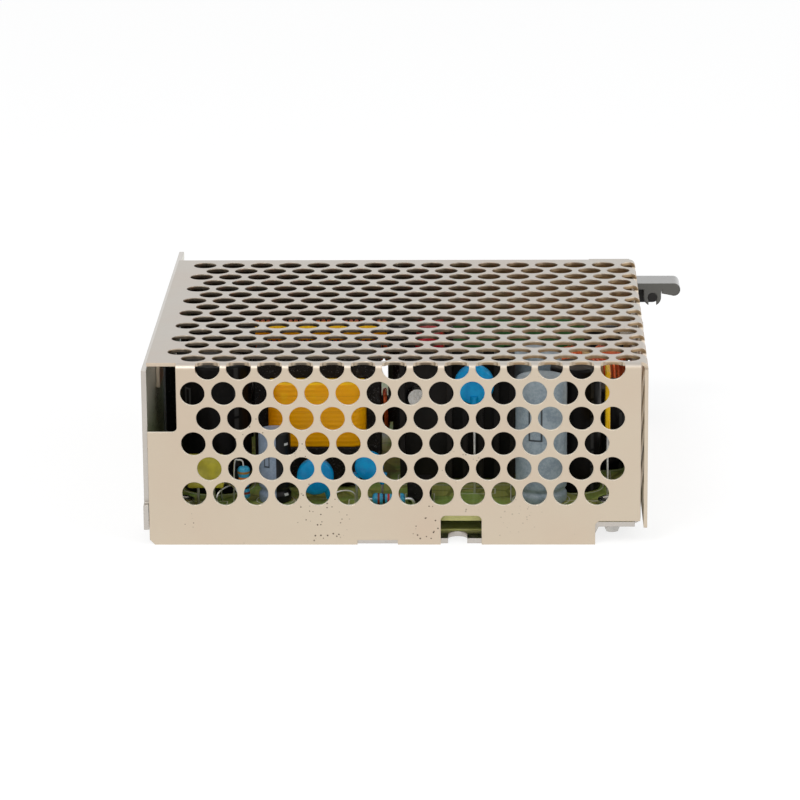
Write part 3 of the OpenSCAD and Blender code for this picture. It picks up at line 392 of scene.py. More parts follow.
def grid(points, wrapU=False, wrapV=False, capStart=False, capEnd=False):
    # points[u, v] joined to quads; wraps join last to first, caps close the rings v at u = 0 and u = last
    points = np.asarray(points, float)
    nu, nv = points.shape[:2]
    index = np.arange(nu * nv).reshape(nu, nv)
    u = np.arange(nu if wrapU else nu - 1)
    v = np.arange(nv if wrapV else nv - 1)
    a = index[u][:, v]
    b = index[(u + 1) % nu][:, v]
    c = index[(u + 1) % nu][:, (v + 1) % nv]
    d = index[u][:, (v + 1) % nv]
    quads = np.stack([a, d, c, b], -1).reshape(-1, 4).tolist()
    if capStart:
        quads.append(index[0][::-1].tolist())
    if capEnd:
        quads.append(index[-1].tolist())
    ownMap = np.stack(np.meshgrid(np.linspace(0, 1, nu), np.linspace(0, 1, nv), indexing="ij"), -1)
    return dict(points=points.reshape(-1, 3), faces=quads, map=ownMap.reshape(-1, 2))


def lathe(radius, level, sides=48, up=(0, 0, 1), at=(0, 0, 0)):
    # profile (radius, level) turned about the axis `up` through `at`:
    # point = at + radius cos(t) side + radius sin(t) other + level up
    radius, level = np.asarray(radius, float), np.asarray(level, float)
    turn = np.linspace(0, tau, sides, endpoint=False)
    axis = np.array(up, float) / np.linalg.norm(up)
    side = np.cross(axis, (0.0, 1.0, 0.0) if abs(axis[1]) < 0.9 else (1.0, 0.0, 0.0))
    side /= np.linalg.norm(side)
    other = np.cross(axis, side)
    points = (np.array(at) + radius[:, None, None] * (np.cos(turn)[None, :, None] * side
              + np.sin(turn)[None, :, None] * other) + level[:, None, None] * axis)
    shape = grid(points, wrapV=True, capStart=True, capEnd=True)
    around = np.broadcast_to(np.linspace(0, 1, sides, endpoint=False), (len(level), sides))
    upward = np.broadcast_to(level[:, None], (len(level), sides))
    shape["map"] = np.stack([around, upward], -1).reshape(-1, 2)
    return shape


def tube(path, radius, sides=10, guide=(0, 0, 1), squash=1.0):
    # circle or flattened circle carried along a path; guide is never along the path
    path = np.asarray(path, float)
    tangent = np.gradient(path, axis=0)
    tangent /= np.linalg.norm(tangent, axis=1, keepdims=True)
    guide = np.broadcast_to(np.asarray(guide, float), path.shape)
    side = np.cross(tangent, guide)
    side /= np.linalg.norm(side, axis=1, keepdims=True)
    other = np.cross(side, tangent)
    turn = np.linspace(0, tau, sides, endpoint=False)
    radius = np.broadcast_to(np.asarray(radius, float), len(path))[:, None, None]
    points = path[:, None] + radius * (np.cos(turn)[None, :, None] * side[:, None]
                                       + squash * np.sin(turn)[None, :, None] * other[:, None])
    return grid(points, wrapV=True, capStart=True, capEnd=True)


def smoothPath(corners, count=24):
    # Catmull-Rom curve through the corner points
    corners = np.asarray(corners, float)
    ends = np.vstack([2 * corners[0] - corners[1], corners, 2 * corners[-1] - corners[-2]])
    t = np.linspace(0, len(corners) - 1 - 1e-9, count)
    k = t.astype(int)
    f = (t - k)[:, None]
    p0, p1, p2, p3 = ends[k], ends[k + 1], ends[k + 2], ends[k + 3]
    return 0.5 * (2 * p1 + (p2 - p0) * f + (2 * p0 - 5 * p1 + 4 * p2 - p3) * f ** 2
                  + (3 * p1 - p0 - 3 * p2 + p3) * f ** 3)


def pillow(low, high, side, end, bulge=0.0, steps=7):
    # rounded block: rounded-rectangle ring (corner radius `side`) whose inset follows a quarter circle of
    # radius `end` at both ends, with walls swelled by `bulge` at mid height
    low, high = np.asarray(low, float), np.asarray(high, float)
    centre, half = (low + high) / 2, (high - low) / 2
    corner = np.linspace(0, math.pi / 2, steps)
    turn = (corner[None, :] + np.arange(4)[:, None] * math.pi / 2).reshape(-1)
    signX = np.repeat([1, -1, -1, 1], steps)
    signY = np.repeat([1, 1, -1, -1], steps)
    arc = np.linspace(0, math.pi / 2, 6)
    level = np.concatenate([-half[2] + end * (1 - np.cos(arc)),
                            np.linspace(-half[2] + end, half[2] - end, 9)[1:-1],
                            half[2] - end * (1 - np.cos(arc[::-1]))])
    inset = np.concatenate([end * (1 - np.sin(arc)), np.zeros(7), end * (1 - np.sin(arc[::-1]))])
    inset = inset + bulge * (level / half[2]) ** 2
    reach = side - inset
    core = np.maximum(-reach, 0)
    ringR = np.maximum(reach, 0)
    x = signX[None] * (half[0] - side - core[:, None]) + ringR[:, None] * np.cos(turn)[None]
    y = signY[None] * (half[1] - side - core[:, None]) + ringR[:, None] * np.sin(turn)[None]
    z = np.broadcast_to(level[:, None], x.shape)
    return grid(np.stack([x, y, z], -1) + centre, wrapV=True, capStart=True, capEnd=True)


def lens(centre, radius, thick, axis, flat=2.6, sides=40, rings=22):
    # dipped disc, closed at each face: r = R sin(a)^0.9, height = t/2 sign(cos a) |cos a|^(1/flat)
    a = np.linspace(0.04, math.pi - 0.04, rings)
    height = thick / 2 * np.sign(np.cos(a)) * np.abs(np.cos(a)) ** (1 / flat)
    return lathe(radius * np.sin(a) ** 0.9, -height, sides, axis, centre)


def easeInOut(value):
    # 0 to 1 with level ends
    value = np.clip(value, 0, 1)
    return value ** 2 * (3 - 2 * value)


def crossHead(at, axis, radius, dome, seat, slotLong, slotWide, depth, sides=72, rings=26):
    # screw head: polar height field h(r, t) = dome (1 - (r/R)^4) less a smoothed cross,
    # then a wall to the seat
    r = np.linspace(0.004, 1, rings) ** 0.8
    turn = np.linspace(0, tau, sides, endpoint=False)
    rr, tt = np.meshgrid(r, turn, indexing="ij")
    x, y = rr * np.cos(tt) * radius, rr * np.sin(tt) * radius
    narrow, wide = np.minimum(abs(x), abs(y)), np.maximum(abs(x), abs(y))
    soft = radius * 0.12
    inside = easeInOut((slotWide / 2 - narrow) / soft + 0.5) * easeInOut((slotLong / 2 - wide) / soft + 0.5)
    h = dome * (1 - rr ** 4) - depth * inside
    axis = np.array(axis, float)
    side = np.cross(axis, (0.0, 1.0, 0.0) if abs(axis[1]) < 0.9 else (1.0, 0.0, 0.0))
    side /= np.linalg.norm(side)
    other = np.cross(axis, side)
    points = np.array(at) + x[..., None] * side + y[..., None] * other + h[..., None] * axis
    wall = points[-1:] - seat * axis
    return grid(np.concatenate([points, wall]), wrapV=True, capStart=True, capEnd=True)


def makePiece(name, parts, replaced=()):
    # parts: (shape, material name) pairs put into one mesh, which rides on the case
    mesh = bpy.data.meshes.new(name)
    points, faces, owners, maps, base = [], [], [], [], 0
    names = []
    for shape, look in parts:
        if look not in names:
            names.append(look)
        points.append(shape["points"])
        maps.append(shape["map"])
        faces += [[i + base for i in face] for face in shape["faces"]]
        owners += [names.index(look)] * len(shape["faces"])
        base += len(shape["points"])
    mesh.from_pydata(np.concatenate(points) * mm, [], faces)
    for look in names:
        mesh.materials.append(looks[look])
    mesh.polygons.foreach_set("material_index", owners)
    mesh.polygons.foreach_set("use_smooth", [True] * len(faces))
    layer = mesh.uv_layers.new(name="own")
    loops = np.empty(len(mesh.loops), np.int32)
    mesh.loops.foreach_get("vertex_index", loops)
    layer.data.foreach_set("uv", np.concatenate(maps)[loops].reshape(-1).astype(np.float32))
    mesh.set_sharp_from_angle(angle=math.radians(40))
    mesh.update()
    piece = bpy.data.objects.new(name, mesh)
    bpy.context.scene.collection.objects.link(piece)
    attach(piece, "case")
    if replaced:
        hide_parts(*replaced)


def solidBoxes(node):
    # boxes in mm of a node's separate solids, found by spreading the lowest label over shared corners
    mesh = nodes[node].data
    co = np.empty(len(mesh.vertices) * 3, np.float32)
    mesh.vertices.foreach_get("co", co)
    co = co.reshape(-1, 3) / mm
    corners = np.empty(len(mesh.loops), np.int32)
    mesh.loops.foreach_get("vertex_index", corners)
    same = np.unique(np.round(co * 200).astype(np.int64), axis=0, return_inverse=True)[1].reshape(-1)
    tri = same[corners].reshape(-1, 3)
    label = np.arange(same.max() + 1)
    while True:
        low = label[tri].min(1)
        spread = label.copy()
        for k in range(3):
            np.minimum.at(spread, tri[:, k], low)
        spread = spread[spread]
        if (spread == label).all():
            break
        label = spread
    owner = label[same]
    found = [(co[owner == k].min(0), co[owner == k].max(0)) for k in np.unique(owner)]
    return sorted(found, key=lambda b: (-(b[1] - b[0]).prod()))


def boxOf(node):
    low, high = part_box(node)
    return np.array(low) / mm, np.array(high) / mm


boardTop = boxOf("circuit_board")[1][2]

canSettings = dict(groove=2.4, grooveDepth=0.45, shoulder=0.7, lip=0.9, dish=0.35)


def canParts(low, high, sleeve):
    # turned can: a foot, a rolled groove of depth cos^2, a straight wall and a quarter round shoulder
    centre = (low + high) / 2
    r, h, s = (high[0] - low[0]) / 2, high[2] - low[2], canSettings
    arc = np.linspace(0, math.pi / 2, 6)
    waist = np.linspace(-1, 1, 9)
    radius = np.concatenate([[r - 1.6, r - 0.7], [r - 0.15, r],
                             r - s["grooveDepth"] * np.cos(waist * math.pi / 2) ** 2, [r] * 5,
                             r - s["shoulder"] * (1 - np.cos(arc)), [r - s["shoulder"] - 0.1 - s["lip"]]])
    level = np.concatenate([[0.25, 0.0], [0.05, 0.4], s["groove"] + waist * 0.9,
                            np.linspace(s["groove"] + 1.4, h - s["shoulder"] - 0.3, 5),
                            h - s["shoulder"] + s["shoulder"] * np.sin(arc), [h - 0.02]])
    at = (centre[0], centre[1], low[2])
    inner, floor = r - s["shoulder"] - s["lip"], h - s["dish"]
    lid = lathe([inner + 0.1, inner, inner - 0.35, inner * 0.55, inner * 0.5, 0.05],
                [h - 0.05, floor, floor - 0.05, floor, floor - 0.12, floor - 0.12], 48, (0, 0, 1), at)
    return [(lathe(radius, level, 64, (0, 0, 1), at), sleeve), (lid, "canMetal")]


for node, sleeve, slotName in (("bulk_capacitor", "sleeveBlack", "sleeve_black"),
                               ("output_capacitors", "sleeveGrey", "sleeve_grey"),
                               ("black_capacitors", "sleeveBlack", "sleeve_black"),
                               ("small_capacitor", "sleeveSlim", "sleeve_grey")):
    parts = []
    for low, high in solidBoxes(node):
        parts += canParts(low, high, sleeve)
    makePiece(node + "_can", parts, (node,))
print("cans made")

discSettings = dict(wire=0.26, splay=2.5, tall=20.0, tallSplay=0.9, neck=0.55, coatR=(1.0, 0.36),
                    thinnest=1.5)


def discParts(low, high, finish):
    centre, size, s = (low + high) / 2, high - low, discSettings
    thick, r = min(size[0], size[1]), max(size[0], size[1]) / 2
    faceY = size[1] < size[0]
    axis = guide = (0, 1, 0) if faceY else (1, 0, 0)
    across = np.array([1.0, 0, 0]) if faceY else np.array([0, 1.0, 0])
    centre[2] = high[2] - r
    parts = [(lens(centre, r, thick, axis), finish)]
    # a tall disc's wires stand one behind the other
    splayed = np.cross(across, (0, 0, 1)) * s["tallSplay"] if centre[2] > s["tall"] else across * s["splay"]
    for k in (-1, 1):
        foot = np.array([centre[0], centre[1], boardTop]) + splayed * k
        neck = centre + splayed * k - (0, 0, r * s["neck"])
        rim = neck - (0, 0, r * (1 - s["neck"]))
        coat = smoothPath([neck, rim, rim - (0, 0, 1.0)], 8)
        wire = smoothPath([neck, (foot + neck) / 2, foot, foot - (0, 0, 1.2)], 14)
        parts.append((tube(coat, np.linspace(*s["coatR"], 8), 12, guide), finish))
        parts.append((tube(wire, s["wire"], 8, guide), "tinMetal"))
    return parts


for node, finish, slotName in (("disc_capacitors", "dipBlue", "dip_blue"),
                               ("varistor", "dipOrange", "dip_orange"),
                               ("thermistor", "dipDarkGreen", "dip_dark_green")):
    parts = []
    for low, high in solidBoxes(node):
        if (high - low).min() > discSettings["thinnest"]:
            parts += discParts(low, high, finish)
    makePiece(node + "_dipped", parts, (node,))
print("discs made")

blockSettings = dict(
    film=dict(form=dict(side=2.2, end=1.6, bulge=0.35), tall=None, leads=(0, 7.5), wire=0.35),
    broad=dict(form=dict(side=0.9, end=0.8, bulge=0.1), tall=None, leads=(0, 0), wire=0.3),
    thin=dict(form=dict(side=0.42, end=0.4), tall=12.6, leads=(0, 2.5), wire=0.18),
    box=dict(form=dict(side=0.4, end=0.35), tall=6.2, leads=(1.5, 0), wire=0.3))


def blockParts(low, high, finish, s):
    # rounded block, held over the board by two straight leads where it has them
    low = low.copy()
    low[2] = high[2] - s["tall"] if s["tall"] else max(low[2], boardTop + 0.6)
    parts, centre = [(pillow(low, high, **s["form"]), finish)], (low + high) / 2
    for k in (-1, 1) if max(s["leads"]) else ():
        foot = np.array([centre[0] + k * s["leads"][0], centre[1] + k * s["leads"][1], boardTop - 1])
        rise = low[2] + 1.5 - foot[2]
        stem = [foot, foot + (0, 0, rise / 2), foot + (0, 0, rise)]
        parts.append((tube(stem, s["wire"], 8, (0, 1, 0)), "tinMetal"))
    return parts


for node, finish, slotName in (("film_capacitor", "epoxyRed", "epoxy_red"),
                               ("yellow_capacitors", "dipYellow", "dip_yellow"),
                               ("box_capacitor", "boxOlive", "box_olive")):
    parts = []
    for low, high in solidBoxes(node):
        yellowForm = "thin" if high[0] - low[0] < 2 else "broad"
        form = dict(film_capacitor="film", box_capacitor="box").get(node, yellowForm)
        parts += blockParts(low, high, finish, blockSettings[form])
    makePiece(node + "_block", parts, (node,))
print("blocks made")

toroidSettings = dict(turns=38, wire=0.34, gapAngle=34, inner=3.0, coreGap=0.6, squareness=0.5,
                      coreSquareness=0.4)


def toroidParts():
    # wire spiralled about a lying ring, with ring angle a and section angle p:
    # c = sign(cos p) |cos p|^q, d = sign(sin p) |sin p|^q, point = ((R + r c) cos a, (R + r c) sin a, h d)
    s = toroidSettings
    low, high = boxOf("toroid_core")
    centre = (low + high) / 2
    outer, _, tall = boxOf("toroid_winding")[1] - centre
    t = np.linspace(0, 1, s["turns"] * 26)
    turn = math.pi / 2 + math.radians(s["gapAngle"] / 2) + math.radians(360 - s["gapAngle"]) * t
    phase = tau * s["turns"] * t
    ringR, halfR, halfZ = (outer + s["inner"]) / 2, (outer - s["inner"]) / 2 - s["wire"], tall - s["wire"]
    c, d = (np.sign(f(phase)) * np.abs(f(phase)) ** s["squareness"] for f in (np.cos, np.sin))
    radius = ringR + halfR * c
    path = centre + np.stack([radius * np.cos(turn), radius * np.sin(turn), halfZ * d], -1)
    outward = np.stack([c * np.cos(turn) / halfR, c * np.sin(turn) / halfR, d / halfZ], -1)
    parts = [(tube(path, s["wire"], 8, outward), "enamelCopper")]
    a, b = np.meshgrid(*(np.linspace(0, tau, count, endpoint=False) for count in (64, 20)), indexing="ij")
    cc, dd = (np.sign(f(b)) * np.abs(f(b)) ** s["coreSquareness"] for f in (np.cos, np.sin))
    coreR, coreHalf = ringR + cc * (halfR - s["coreGap"]), (halfZ - s["coreGap"]) * dd
    ring = centre + np.stack([coreR * np.cos(a), coreR * np.sin(a), coreHalf], -1)
    parts.append((grid(ring, True, True), "coreCream"))
    for p in (path[0], path[-1]):
        foot = np.array([p[0], p[1] + 0.8, boardTop - 1])
        tail = smoothPath([p, (p + foot) / 2 + (0, 0.5, 0), foot], 10)
        parts.append((tube(tail, s["wire"], 8, (1, 0, 0)), "enamelCopper"))
    return parts


makePiece("toroid_turns", toroidParts(), ("toroid_winding", "toroid_core"))
chokeSettings = dict(turns=24, wire=0.42, layers=(0.0, 0.85), squareness=0.6)


def chokeParts():
    # two layers of wire wound along X with a superellipse section: c and d as in the ring above
    parts, s = [], chokeSettings
    for low, high in solidBoxes("line_choke_windings"):
        centre, half = (low + high) / 2, (high - low) / 2 - s["wire"]
        for layer in s["layers"]:
            t = np.linspace(0, 1, s["turns"] * 28)
            phase = tau * s["turns"] * t
            c, d = (np.sign(f(phase)) * np.abs(f(phase)) ** s["squareness"] for f in (np.cos, np.sin))
            across, upward = (half[1] - layer) * c, (half[2] - layer) * d
            path = centre + np.stack([half[0] * (2 * t - 1), across, upward], -1)
            outward = np.stack([0 * t, c, d], -1)
            parts.append((tube(path, s["wire"], 8, outward), "enamelCopper"))
    return parts


makePiece("line_choke_turns", chokeParts(), ("line_choke_windings",))
upper = max(solidBoxes("line_choke_windings"), key=lambda b: b[1][2])
bandSettings = dict(inset=0.6, lift=0.12, drop=3.0, over=1.2, bend=1.6, thick=0.09, steps=24)


def bandGrid(low, high, s):
    # strip of tape bent over the winding's front upper edge: quarter round between two straight runs
    bend = s["bend"]
    front, top = low[1] - s["lift"], high[2] + s["lift"]
    arc = np.linspace(0, math.pi / 2, 9)
    y = np.concatenate([[front, front], front + bend * (1 - np.cos(arc)), [front + bend + s["over"]]])
    z = np.concatenate([[top - s["drop"], top - s["drop"] / 2], top - bend + bend * np.sin(arc), [top]])
    x = np.linspace(low[0] + s["inset"], high[0] - s["inset"], s["steps"])
    outer = np.stack(np.broadcast_arrays(x[:, None], y, z), -1)
    inner = outer + (0, s["thick"], -s["thick"])
    return grid(np.concatenate([outer, inner[:, ::-1]], 1), wrapV=True, capStart=True, capEnd=True)


makePiece("line_choke_tape", [(bandGrid(*upper, bandSettings), "tapeYellow")])
coilSettings = dict(form=dict(side=3.0, end=0.5, bulge=0.2), foot=8.2, rail=3.2, pinStep=4.0, pinR=0.4)


def coilParts():
    # taped coil over two moulded rails, each with five pins
    s = coilSettings
    low, high = solidBoxes("transformer_coil")[0]
    floor = np.array([low[0], low[1], boardTop + s["foot"]])
    parts = [(pillow(floor, high, **s["form"]), "tapeYellow")]
    for front in (low[1], high[1] - s["rail"]):
        railLow = (low[0], front, boardTop + 0.6)
        railHigh = (high[0], front + s["rail"], boardTop + s["foot"] + 0.1)
        parts.append((pillow(railLow, railHigh, 0.4, 0.3), "ferrite"))
        for k in range(-2, 3):
            at = ((low[0] + high[0]) / 2 + k * s["pinStep"], front + s["rail"] / 2, boardTop)
            pin = lathe([0.1, s["pinR"], s["pinR"], 0.1], [-1.0, -0.9, 0.9, 1.0], 16, (0, 0, 1), at)
            parts.append((pin, "tinMetal"))
    return parts


makePiece("transformer_windings", coilParts(), ("transformer_coil",))
print("windings made")

resistorSettings = dict(wire=0.3, loopWire=0.18, half=3.2, bend=4.3, reach=4.9)


def resistorParts(low, high):
    # body turned about its longest side: domed ends and a slimmer waist
    size, centre = high - low, (low + high) / 2
    axis = int(size.argmax())
    r, length = np.sort(size)[0] / 2, size[axis]
    direction = np.eye(3)[axis]
    level = np.array([0, 0.03, 0.08, 0.16, 0.24, 0.32, 0.68, 0.76, 0.84, 0.92, 0.97, 1.0])
    radius = np.array([0.35, 0.8, 0.98, 1, 0.96, 0.86, 0.86, 0.96, 1, 0.98, 0.8, 0.35]) * r
    shape = lathe(radius, level * length, 32, direction, centre - direction * length / 2)
    shape["map"][:, 1] /= length
    return [(shape, "resistorBlue")]


def standingResistor(low, high):
    # the upper wire loops over and down to the board
    c = (low + high) / 2
    foot = (low[0], low[1], max(low[2], boardTop + 0.8))
    loop = [(c[0], c[1], high[2] - 0.6), (c[0] - 0.2, c[1], high[2] + 0.7), (c[0] - 1.0, c[1], high[2] + 1.0),
            (c[0] - 1.8, c[1], high[2] + 0.1), (c[0] - 2.0, c[1], boardTop - 0.8)]
    wire = tube(smoothPath(loop, 26), resistorSettings["loopWire"], 8, (0, 1, 0))
    return resistorParts(np.array(foot), high - (0, 0, 0.2)) + [(wire, "tinMetal")]


def lyingResistor(low, high):
    c, r, s = (low + high) / 2, min(high[1] - low[1], high[2] - low[2]) / 2, resistorSettings
    parts = resistorParts(c - (s["half"], r, r), c + (s["half"], r, r))
    for k in (-1, 1):
        bend, end = c[0] + k * s["bend"], c[0] + k * s["reach"]
        corners = [(c[0] + k * (s["half"] - 0.2), c[1], c[2]), (bend, c[1], c[2]), (end, c[1], c[2] - 0.8),
                   (end, c[1], boardTop - 0.8)]
        parts.append((tube(smoothPath(corners, 18), s["wire"], 8, (0, 1, 0)), "tinMetal"))
    return parts


parts = []
for low, high in solidBoxes("resistors"):
    size = high - low
    parts += (standingResistor if size[2] > max(size[0], size[1]) else lyingResistor)(low, high)
makePiece("resistors_ringed", parts, ("resistors",))

fuseSettings = dict(cap=5.0, sag=0.5, strand=0.12)
low, high = boxOf("fuse_tube")
fuseR, fuseL = (high[2] - low[2]) / 2, high[0] - low[0]
fuseAt = (low[0], (low[1] + high[1]) / 2, (low[2] + high[2]) / 2)
barrel = lathe([fuseR - 0.3] * 2, [2.0, fuseL - 2.0], 40, (1, 0, 0), fuseAt)
capLevel = np.array([0, 0, 0.1, 0.4, 4.7, 4.95, fuseSettings["cap"]])
capRadius = [0.1, fuseR - 0.35, fuseR - 0.05, fuseR, fuseR, fuseR - 0.1, fuseR - 0.25]
caps = [lathe(capRadius, capLevel + shift, 40, (1, 0, 0), fuseAt)
        for shift in (0, fuseL - fuseSettings["cap"])]
t = np.linspace(3, fuseL - 3, 16)
sagged = np.stack([t, 0 * t, -fuseSettings["sag"] * np.sin(math.pi * t / fuseL)], -1)
strand = tube(np.array(fuseAt) + sagged, fuseSettings["strand"], 6)
makePiece("fuse_glass_tube", [(barrel, "fuseGlass"), (caps[0], "screwMetal"), (caps[1], "screwMetal"),
                              (strand, "tinMetal")], ("fuse_tube",))
print("resistors and fuse made")

headSettings = dict(terminal=dict(dome=0.5, slotLong=3.9, slotWide=0.75, depth=1.1),
                    board=dict(dome=0.4, slotLong=3.2, slotWide=0.7, depth=1.0))


def headOn(low, high, axis, form):
    # head at the end of the box that faces `axis`
    centre = (low + high) / 2
    k = int(np.abs(axis).argmax())
    sign = np.sign(axis[k])
    face = high[k] if sign > 0 else low[k]
    r = np.delete(high - low, k).min() / 2
    s = headSettings[form]
    centre[k] = face - sign * s["dome"]
    return crossHead(centre, axis, r, s["dome"], 0.6, s["slotLong"], s["slotWide"], s["depth"])


for node, form, axis in (("terminal_screws", "terminal", (0, 0, 1)), ("board_screws", "board", (0, 0, 1))):
    heads = []
    for low, high in solidBoxes(node):
        c, r = (low + high) / 2, (high[0] - low[0]) / 2
        heads.append((headOn(low, high, np.array(axis, float), form), "screwMetal"))
        top = high[2] - headSettings[form]["dome"] - 0.6
        level = [top + 0.01, top - 0.7, top - 0.9, top - 0.9, low[2] + 1, low[2] + 0.2, low[2]]
        shank = lathe([r, r, r - 0.1, 1.45, 1.5, 1.2, 0.2], level, 40, (0, 0, 1), (c[0], c[1], 0))
        heads.append((shank, "screwMetal"))
    makePiece(node + "_cross", heads, (node,))
print("screws made")

wireSettings = dict(radius=0.16, loops=[((-34.5, -44.0), (-30.0, -38.5), 3.4),
                                        ((-34.0, -39.0), (-30.6, -44.4), 3.8),
                                        ((-12.0, -44.5), (-8.0, -43.5), 3.2)])
wires = []
for start, end, rise in wireSettings["loops"]:
    a, b = np.array([*start, boardTop - 0.8]), np.array([*end, boardTop - 0.8])
    up = (0, 0, 0.8 + rise * 0.8)
    route = smoothPath([a, a + up, (a + b) / 2 + (0, 0, 1 + rise), b + up, b], 26)
    guide = np.cross((b - a) / np.linalg.norm(b - a), (0, 0, 1))
    wires.append((tube(route, wireSettings["radius"], 8, guide), "tinMetal"))
makePiece("board_wires", wires)

inkSettings = dict(line=0.12, lift=0.02, arcs=[(39.6, -42.5, 2.6, 0.1, 0.6), (-39.0, -44.4, 2.2, 0.4, 0.95)])
ink = []


def inkRing(x, y, r, start=0.0, end=1.0):
    # flat printed line round a point, from start to end as shares of a turn
    t = np.linspace(start, end, 72) * tau
    ring = np.stack([x + r * np.cos(t), y + r * np.sin(t), 0 * t + boardTop + inkSettings["lift"]], -1)
    ink.append((tube(ring, inkSettings["line"], 6, (0, 0, 1), 0.25), "boardInk"))


def inkBox(x0, y0, x1, y1):
    corners = np.array([(x0, y0), (x1, y0), (x1, y1), (x0, y1), (x0, y0)], float)
    for a, b in zip(corners[:-1], corners[1:]):
        line = np.linspace([*a, boardTop + inkSettings["lift"]], [*b, boardTop + inkSettings["lift"]], 4)
        ink.append((tube(line, inkSettings["line"], 6, (0, 0, 1), 0.25), "boardInk"))


for node in ("bulk_capacitor", "output_capacitors", "black_capacitors", "small_capacitor"):
    for low, high in solidBoxes(node):
        inkRing((low[0] + high[0]) / 2, (low[1] + high[1]) / 2, (high[0] - low[0]) / 2 + 0.5)
for node in ("film_capacitor", "box_capacitor", "yellow_capacitors", "optocoupler", "bridge_rectifier",
             "heatsink"):
    low, high = boxOf(node)
    inkBox(low[0] - 0.5, low[1] - 0.5, high[0] + 0.5, high[1] + 0.5)
for low, high in solidBoxes("disc_capacitors"):
    c = (low + high) / 2
    inkBox(c[0] - 4, c[1] - 1.8, c[0] + 4, c[1] + 1.8)
for arc in inkSettings["arcs"]:
    inkRing(*arc)
makePiece("board_print", ink)
print("wires and print made")

finishOf = dict(chassis="chassisMetal", mesh_cover="coverMetal", cover_screws="screwMetal",
                insulation_sheet="sheetOlive", circuit_board="boardGreen", terminal_block="blackMoulding",
                terminal_contacts="tinMetal", terminal_clamps="brassMetal", hinge_pin="blackMoulding",
                terminal_cover="lidGloss", trimmer_body="trimmerBlue", trimmer_rotor="rotorWhite",
                indicator_lamp="lampGreen", transformer_core="ferrite", line_choke_core="ferrite",
                fuse_clips="tinMetal", bridge_rectifier="packageBlack", switching_transistor="packageBlack",
                transistor_pad="padGrey", transistor_screw="screwMetal", heatsink="heatsinkBlack",
                output_rectifier="packageBlack", rectifier_screw="screwMetal", control_board="boardDark",
                control_chip="packageBlack", optocoupler="packageBlack")
for node, finish in finishOf.items():
    materials = nodes[node].data.materials
    for k in range(len(materials)):
        materials[k] = looks[finish]
    if not len(materials):
        materials.append(looks[finish])
print("finishes set:", len(finishOf))

stageSettings = dict(floor=1.2, glow=0.72, glowStrength=1.08, ambient=0.66, key=3.2, lampSize=0.5, fill=1.8)
floorMesh = bpy.data.meshes.new("floor")
s = stageSettings["floor"]
floorMesh.from_pydata([(-s, -s, 0), (s, -s, 0), (s, s, 0), (-s, s, 0)], [], [(0, 1, 2, 3)])
floorLook = Look("floorPaper", roughness=0.9)
floorLook.feed("color", floorLook.mix(floorLook.noise(40) * 0.3, (0.93, 0.93, 0.93, 1), (0.9, 0.9, 0.9, 1)))
path = floorLook.tree.nodes.new("ShaderNodeLightPath")
seen = sum((Term(floorLook, path.outputs[k]) for k in ("Is Glossy Ray", "Is Transmission Ray")),
           Term(floorLook, path.outputs["Is Camera Ray"]))
glow = floorLook.node("Emission", {}, {"Color": (1, 1, 1, 1), "Strength": stageSettings["glowStrength"]})
paper = floorLook.node("MixShader", {}, {0: seen.math("MINIMUM", 1.0) * stageSettings["glow"],
                                         1: Term(floorLook, floorLook.shader.outputs[0]), 2: glow})
floorLook.put(floorLook.output.inputs[0], paper)
floorMesh.materials.append(floorLook.material)
floor = bpy.data.objects.new("floor", floorMesh)
bpy.context.scene.collection.objects.link(floor)

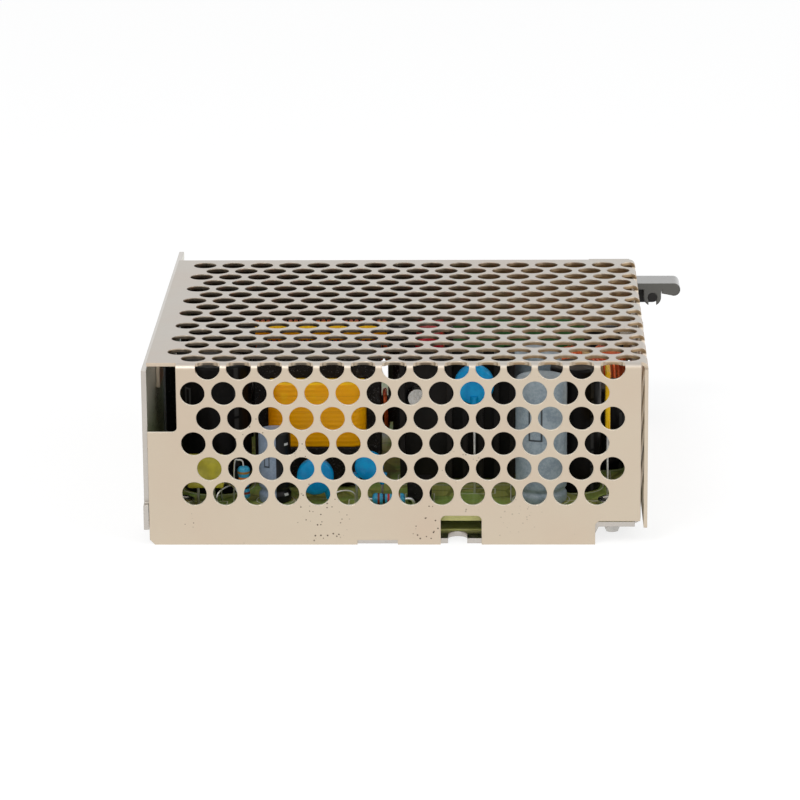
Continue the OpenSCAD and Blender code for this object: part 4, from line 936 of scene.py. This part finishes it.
world = bpy.data.worlds.new("studio")
bpy.context.scene.world = world
world.use_nodes = True
tree = world.node_tree
tree.nodes.clear()
rays = tree.nodes.new("ShaderNodeLightPath")
both = tree.nodes.new("ShaderNodeMath")
both.operation = "ADD"
tree.links.new(rays.outputs["Is Camera Ray"], both.inputs[0])
tree.links.new(rays.outputs["Is Glossy Ray"], both.inputs[1])
three = tree.nodes.new("ShaderNodeMath")
three.operation, three.use_clamp = "ADD", True
tree.links.new(both.outputs[0], three.inputs[0])
tree.links.new(rays.outputs["Is Transmission Ray"], three.inputs[1])
shown = tree.nodes.new("ShaderNodeBackground")
shown.inputs[0].default_value, shown.inputs[1].default_value = (1, 1, 1, 1), 1.0
ambient = tree.nodes.new("ShaderNodeBackground")
ambient.inputs[0].default_value = (0.98, 0.99, 1, 1)
ambient.inputs[1].default_value = stageSettings["ambient"]
choose = tree.nodes.new("ShaderNodeMixShader")
result = tree.nodes.new("ShaderNodeOutputWorld")
tree.links.new(three.outputs[0], choose.inputs[0])
tree.links.new(ambient.outputs[0], choose.inputs[1])
tree.links.new(shown.outputs[0], choose.inputs[2])
tree.links.new(choose.outputs[0], result.inputs[0])


def softLamp(name, at, target, size, power, color):
    data = bpy.data.lights.new(name, "AREA")
    data.shape, data.size, data.energy, data.color = "DISK", size, power, color
    lampObject = bpy.data.objects.new(name, data)
    lampObject.location = at
    lampObject.rotation_euler = (Vector(target) - Vector(at)).to_track_quat("-Z", "Y").to_euler()
    bpy.context.scene.collection.objects.link(lampObject)


aim = (0, 0, 0.02)
lampSize = stageSettings["lampSize"]
softLamp("keyLamp", (-0.35, -0.55, 0.75), aim, lampSize, stageSettings["key"], (1, 0.985, 0.96))
softLamp("fillLamp", (0.6, -0.35, 0.45), aim, lampSize, stageSettings["fill"], (0.97, 0.985, 1))

cameraData = bpy.data.cameras.new("camera")
cameraData.lens, cameraData.sensor_width = 183.76, 36
camera = bpy.data.objects.new("camera", cameraData)
right = (0.99967, 0.02435, -0.00802)
down = (-0.00117, -0.26913, -0.96310)
forward = (-0.02561, 0.96280, -0.26901)
turned = Matrix((right, [-v for v in down], [-v for v in forward])).transposed().to_4x4()
camera.matrix_world = Matrix.Translation((0.0211, -0.80015, 0.23868)) @ turned
bpy.context.scene.collection.objects.link(camera)
bpy.context.scene.camera = camera
bpy.context.scene.view_settings.view_transform = "Standard"
print("stage made")
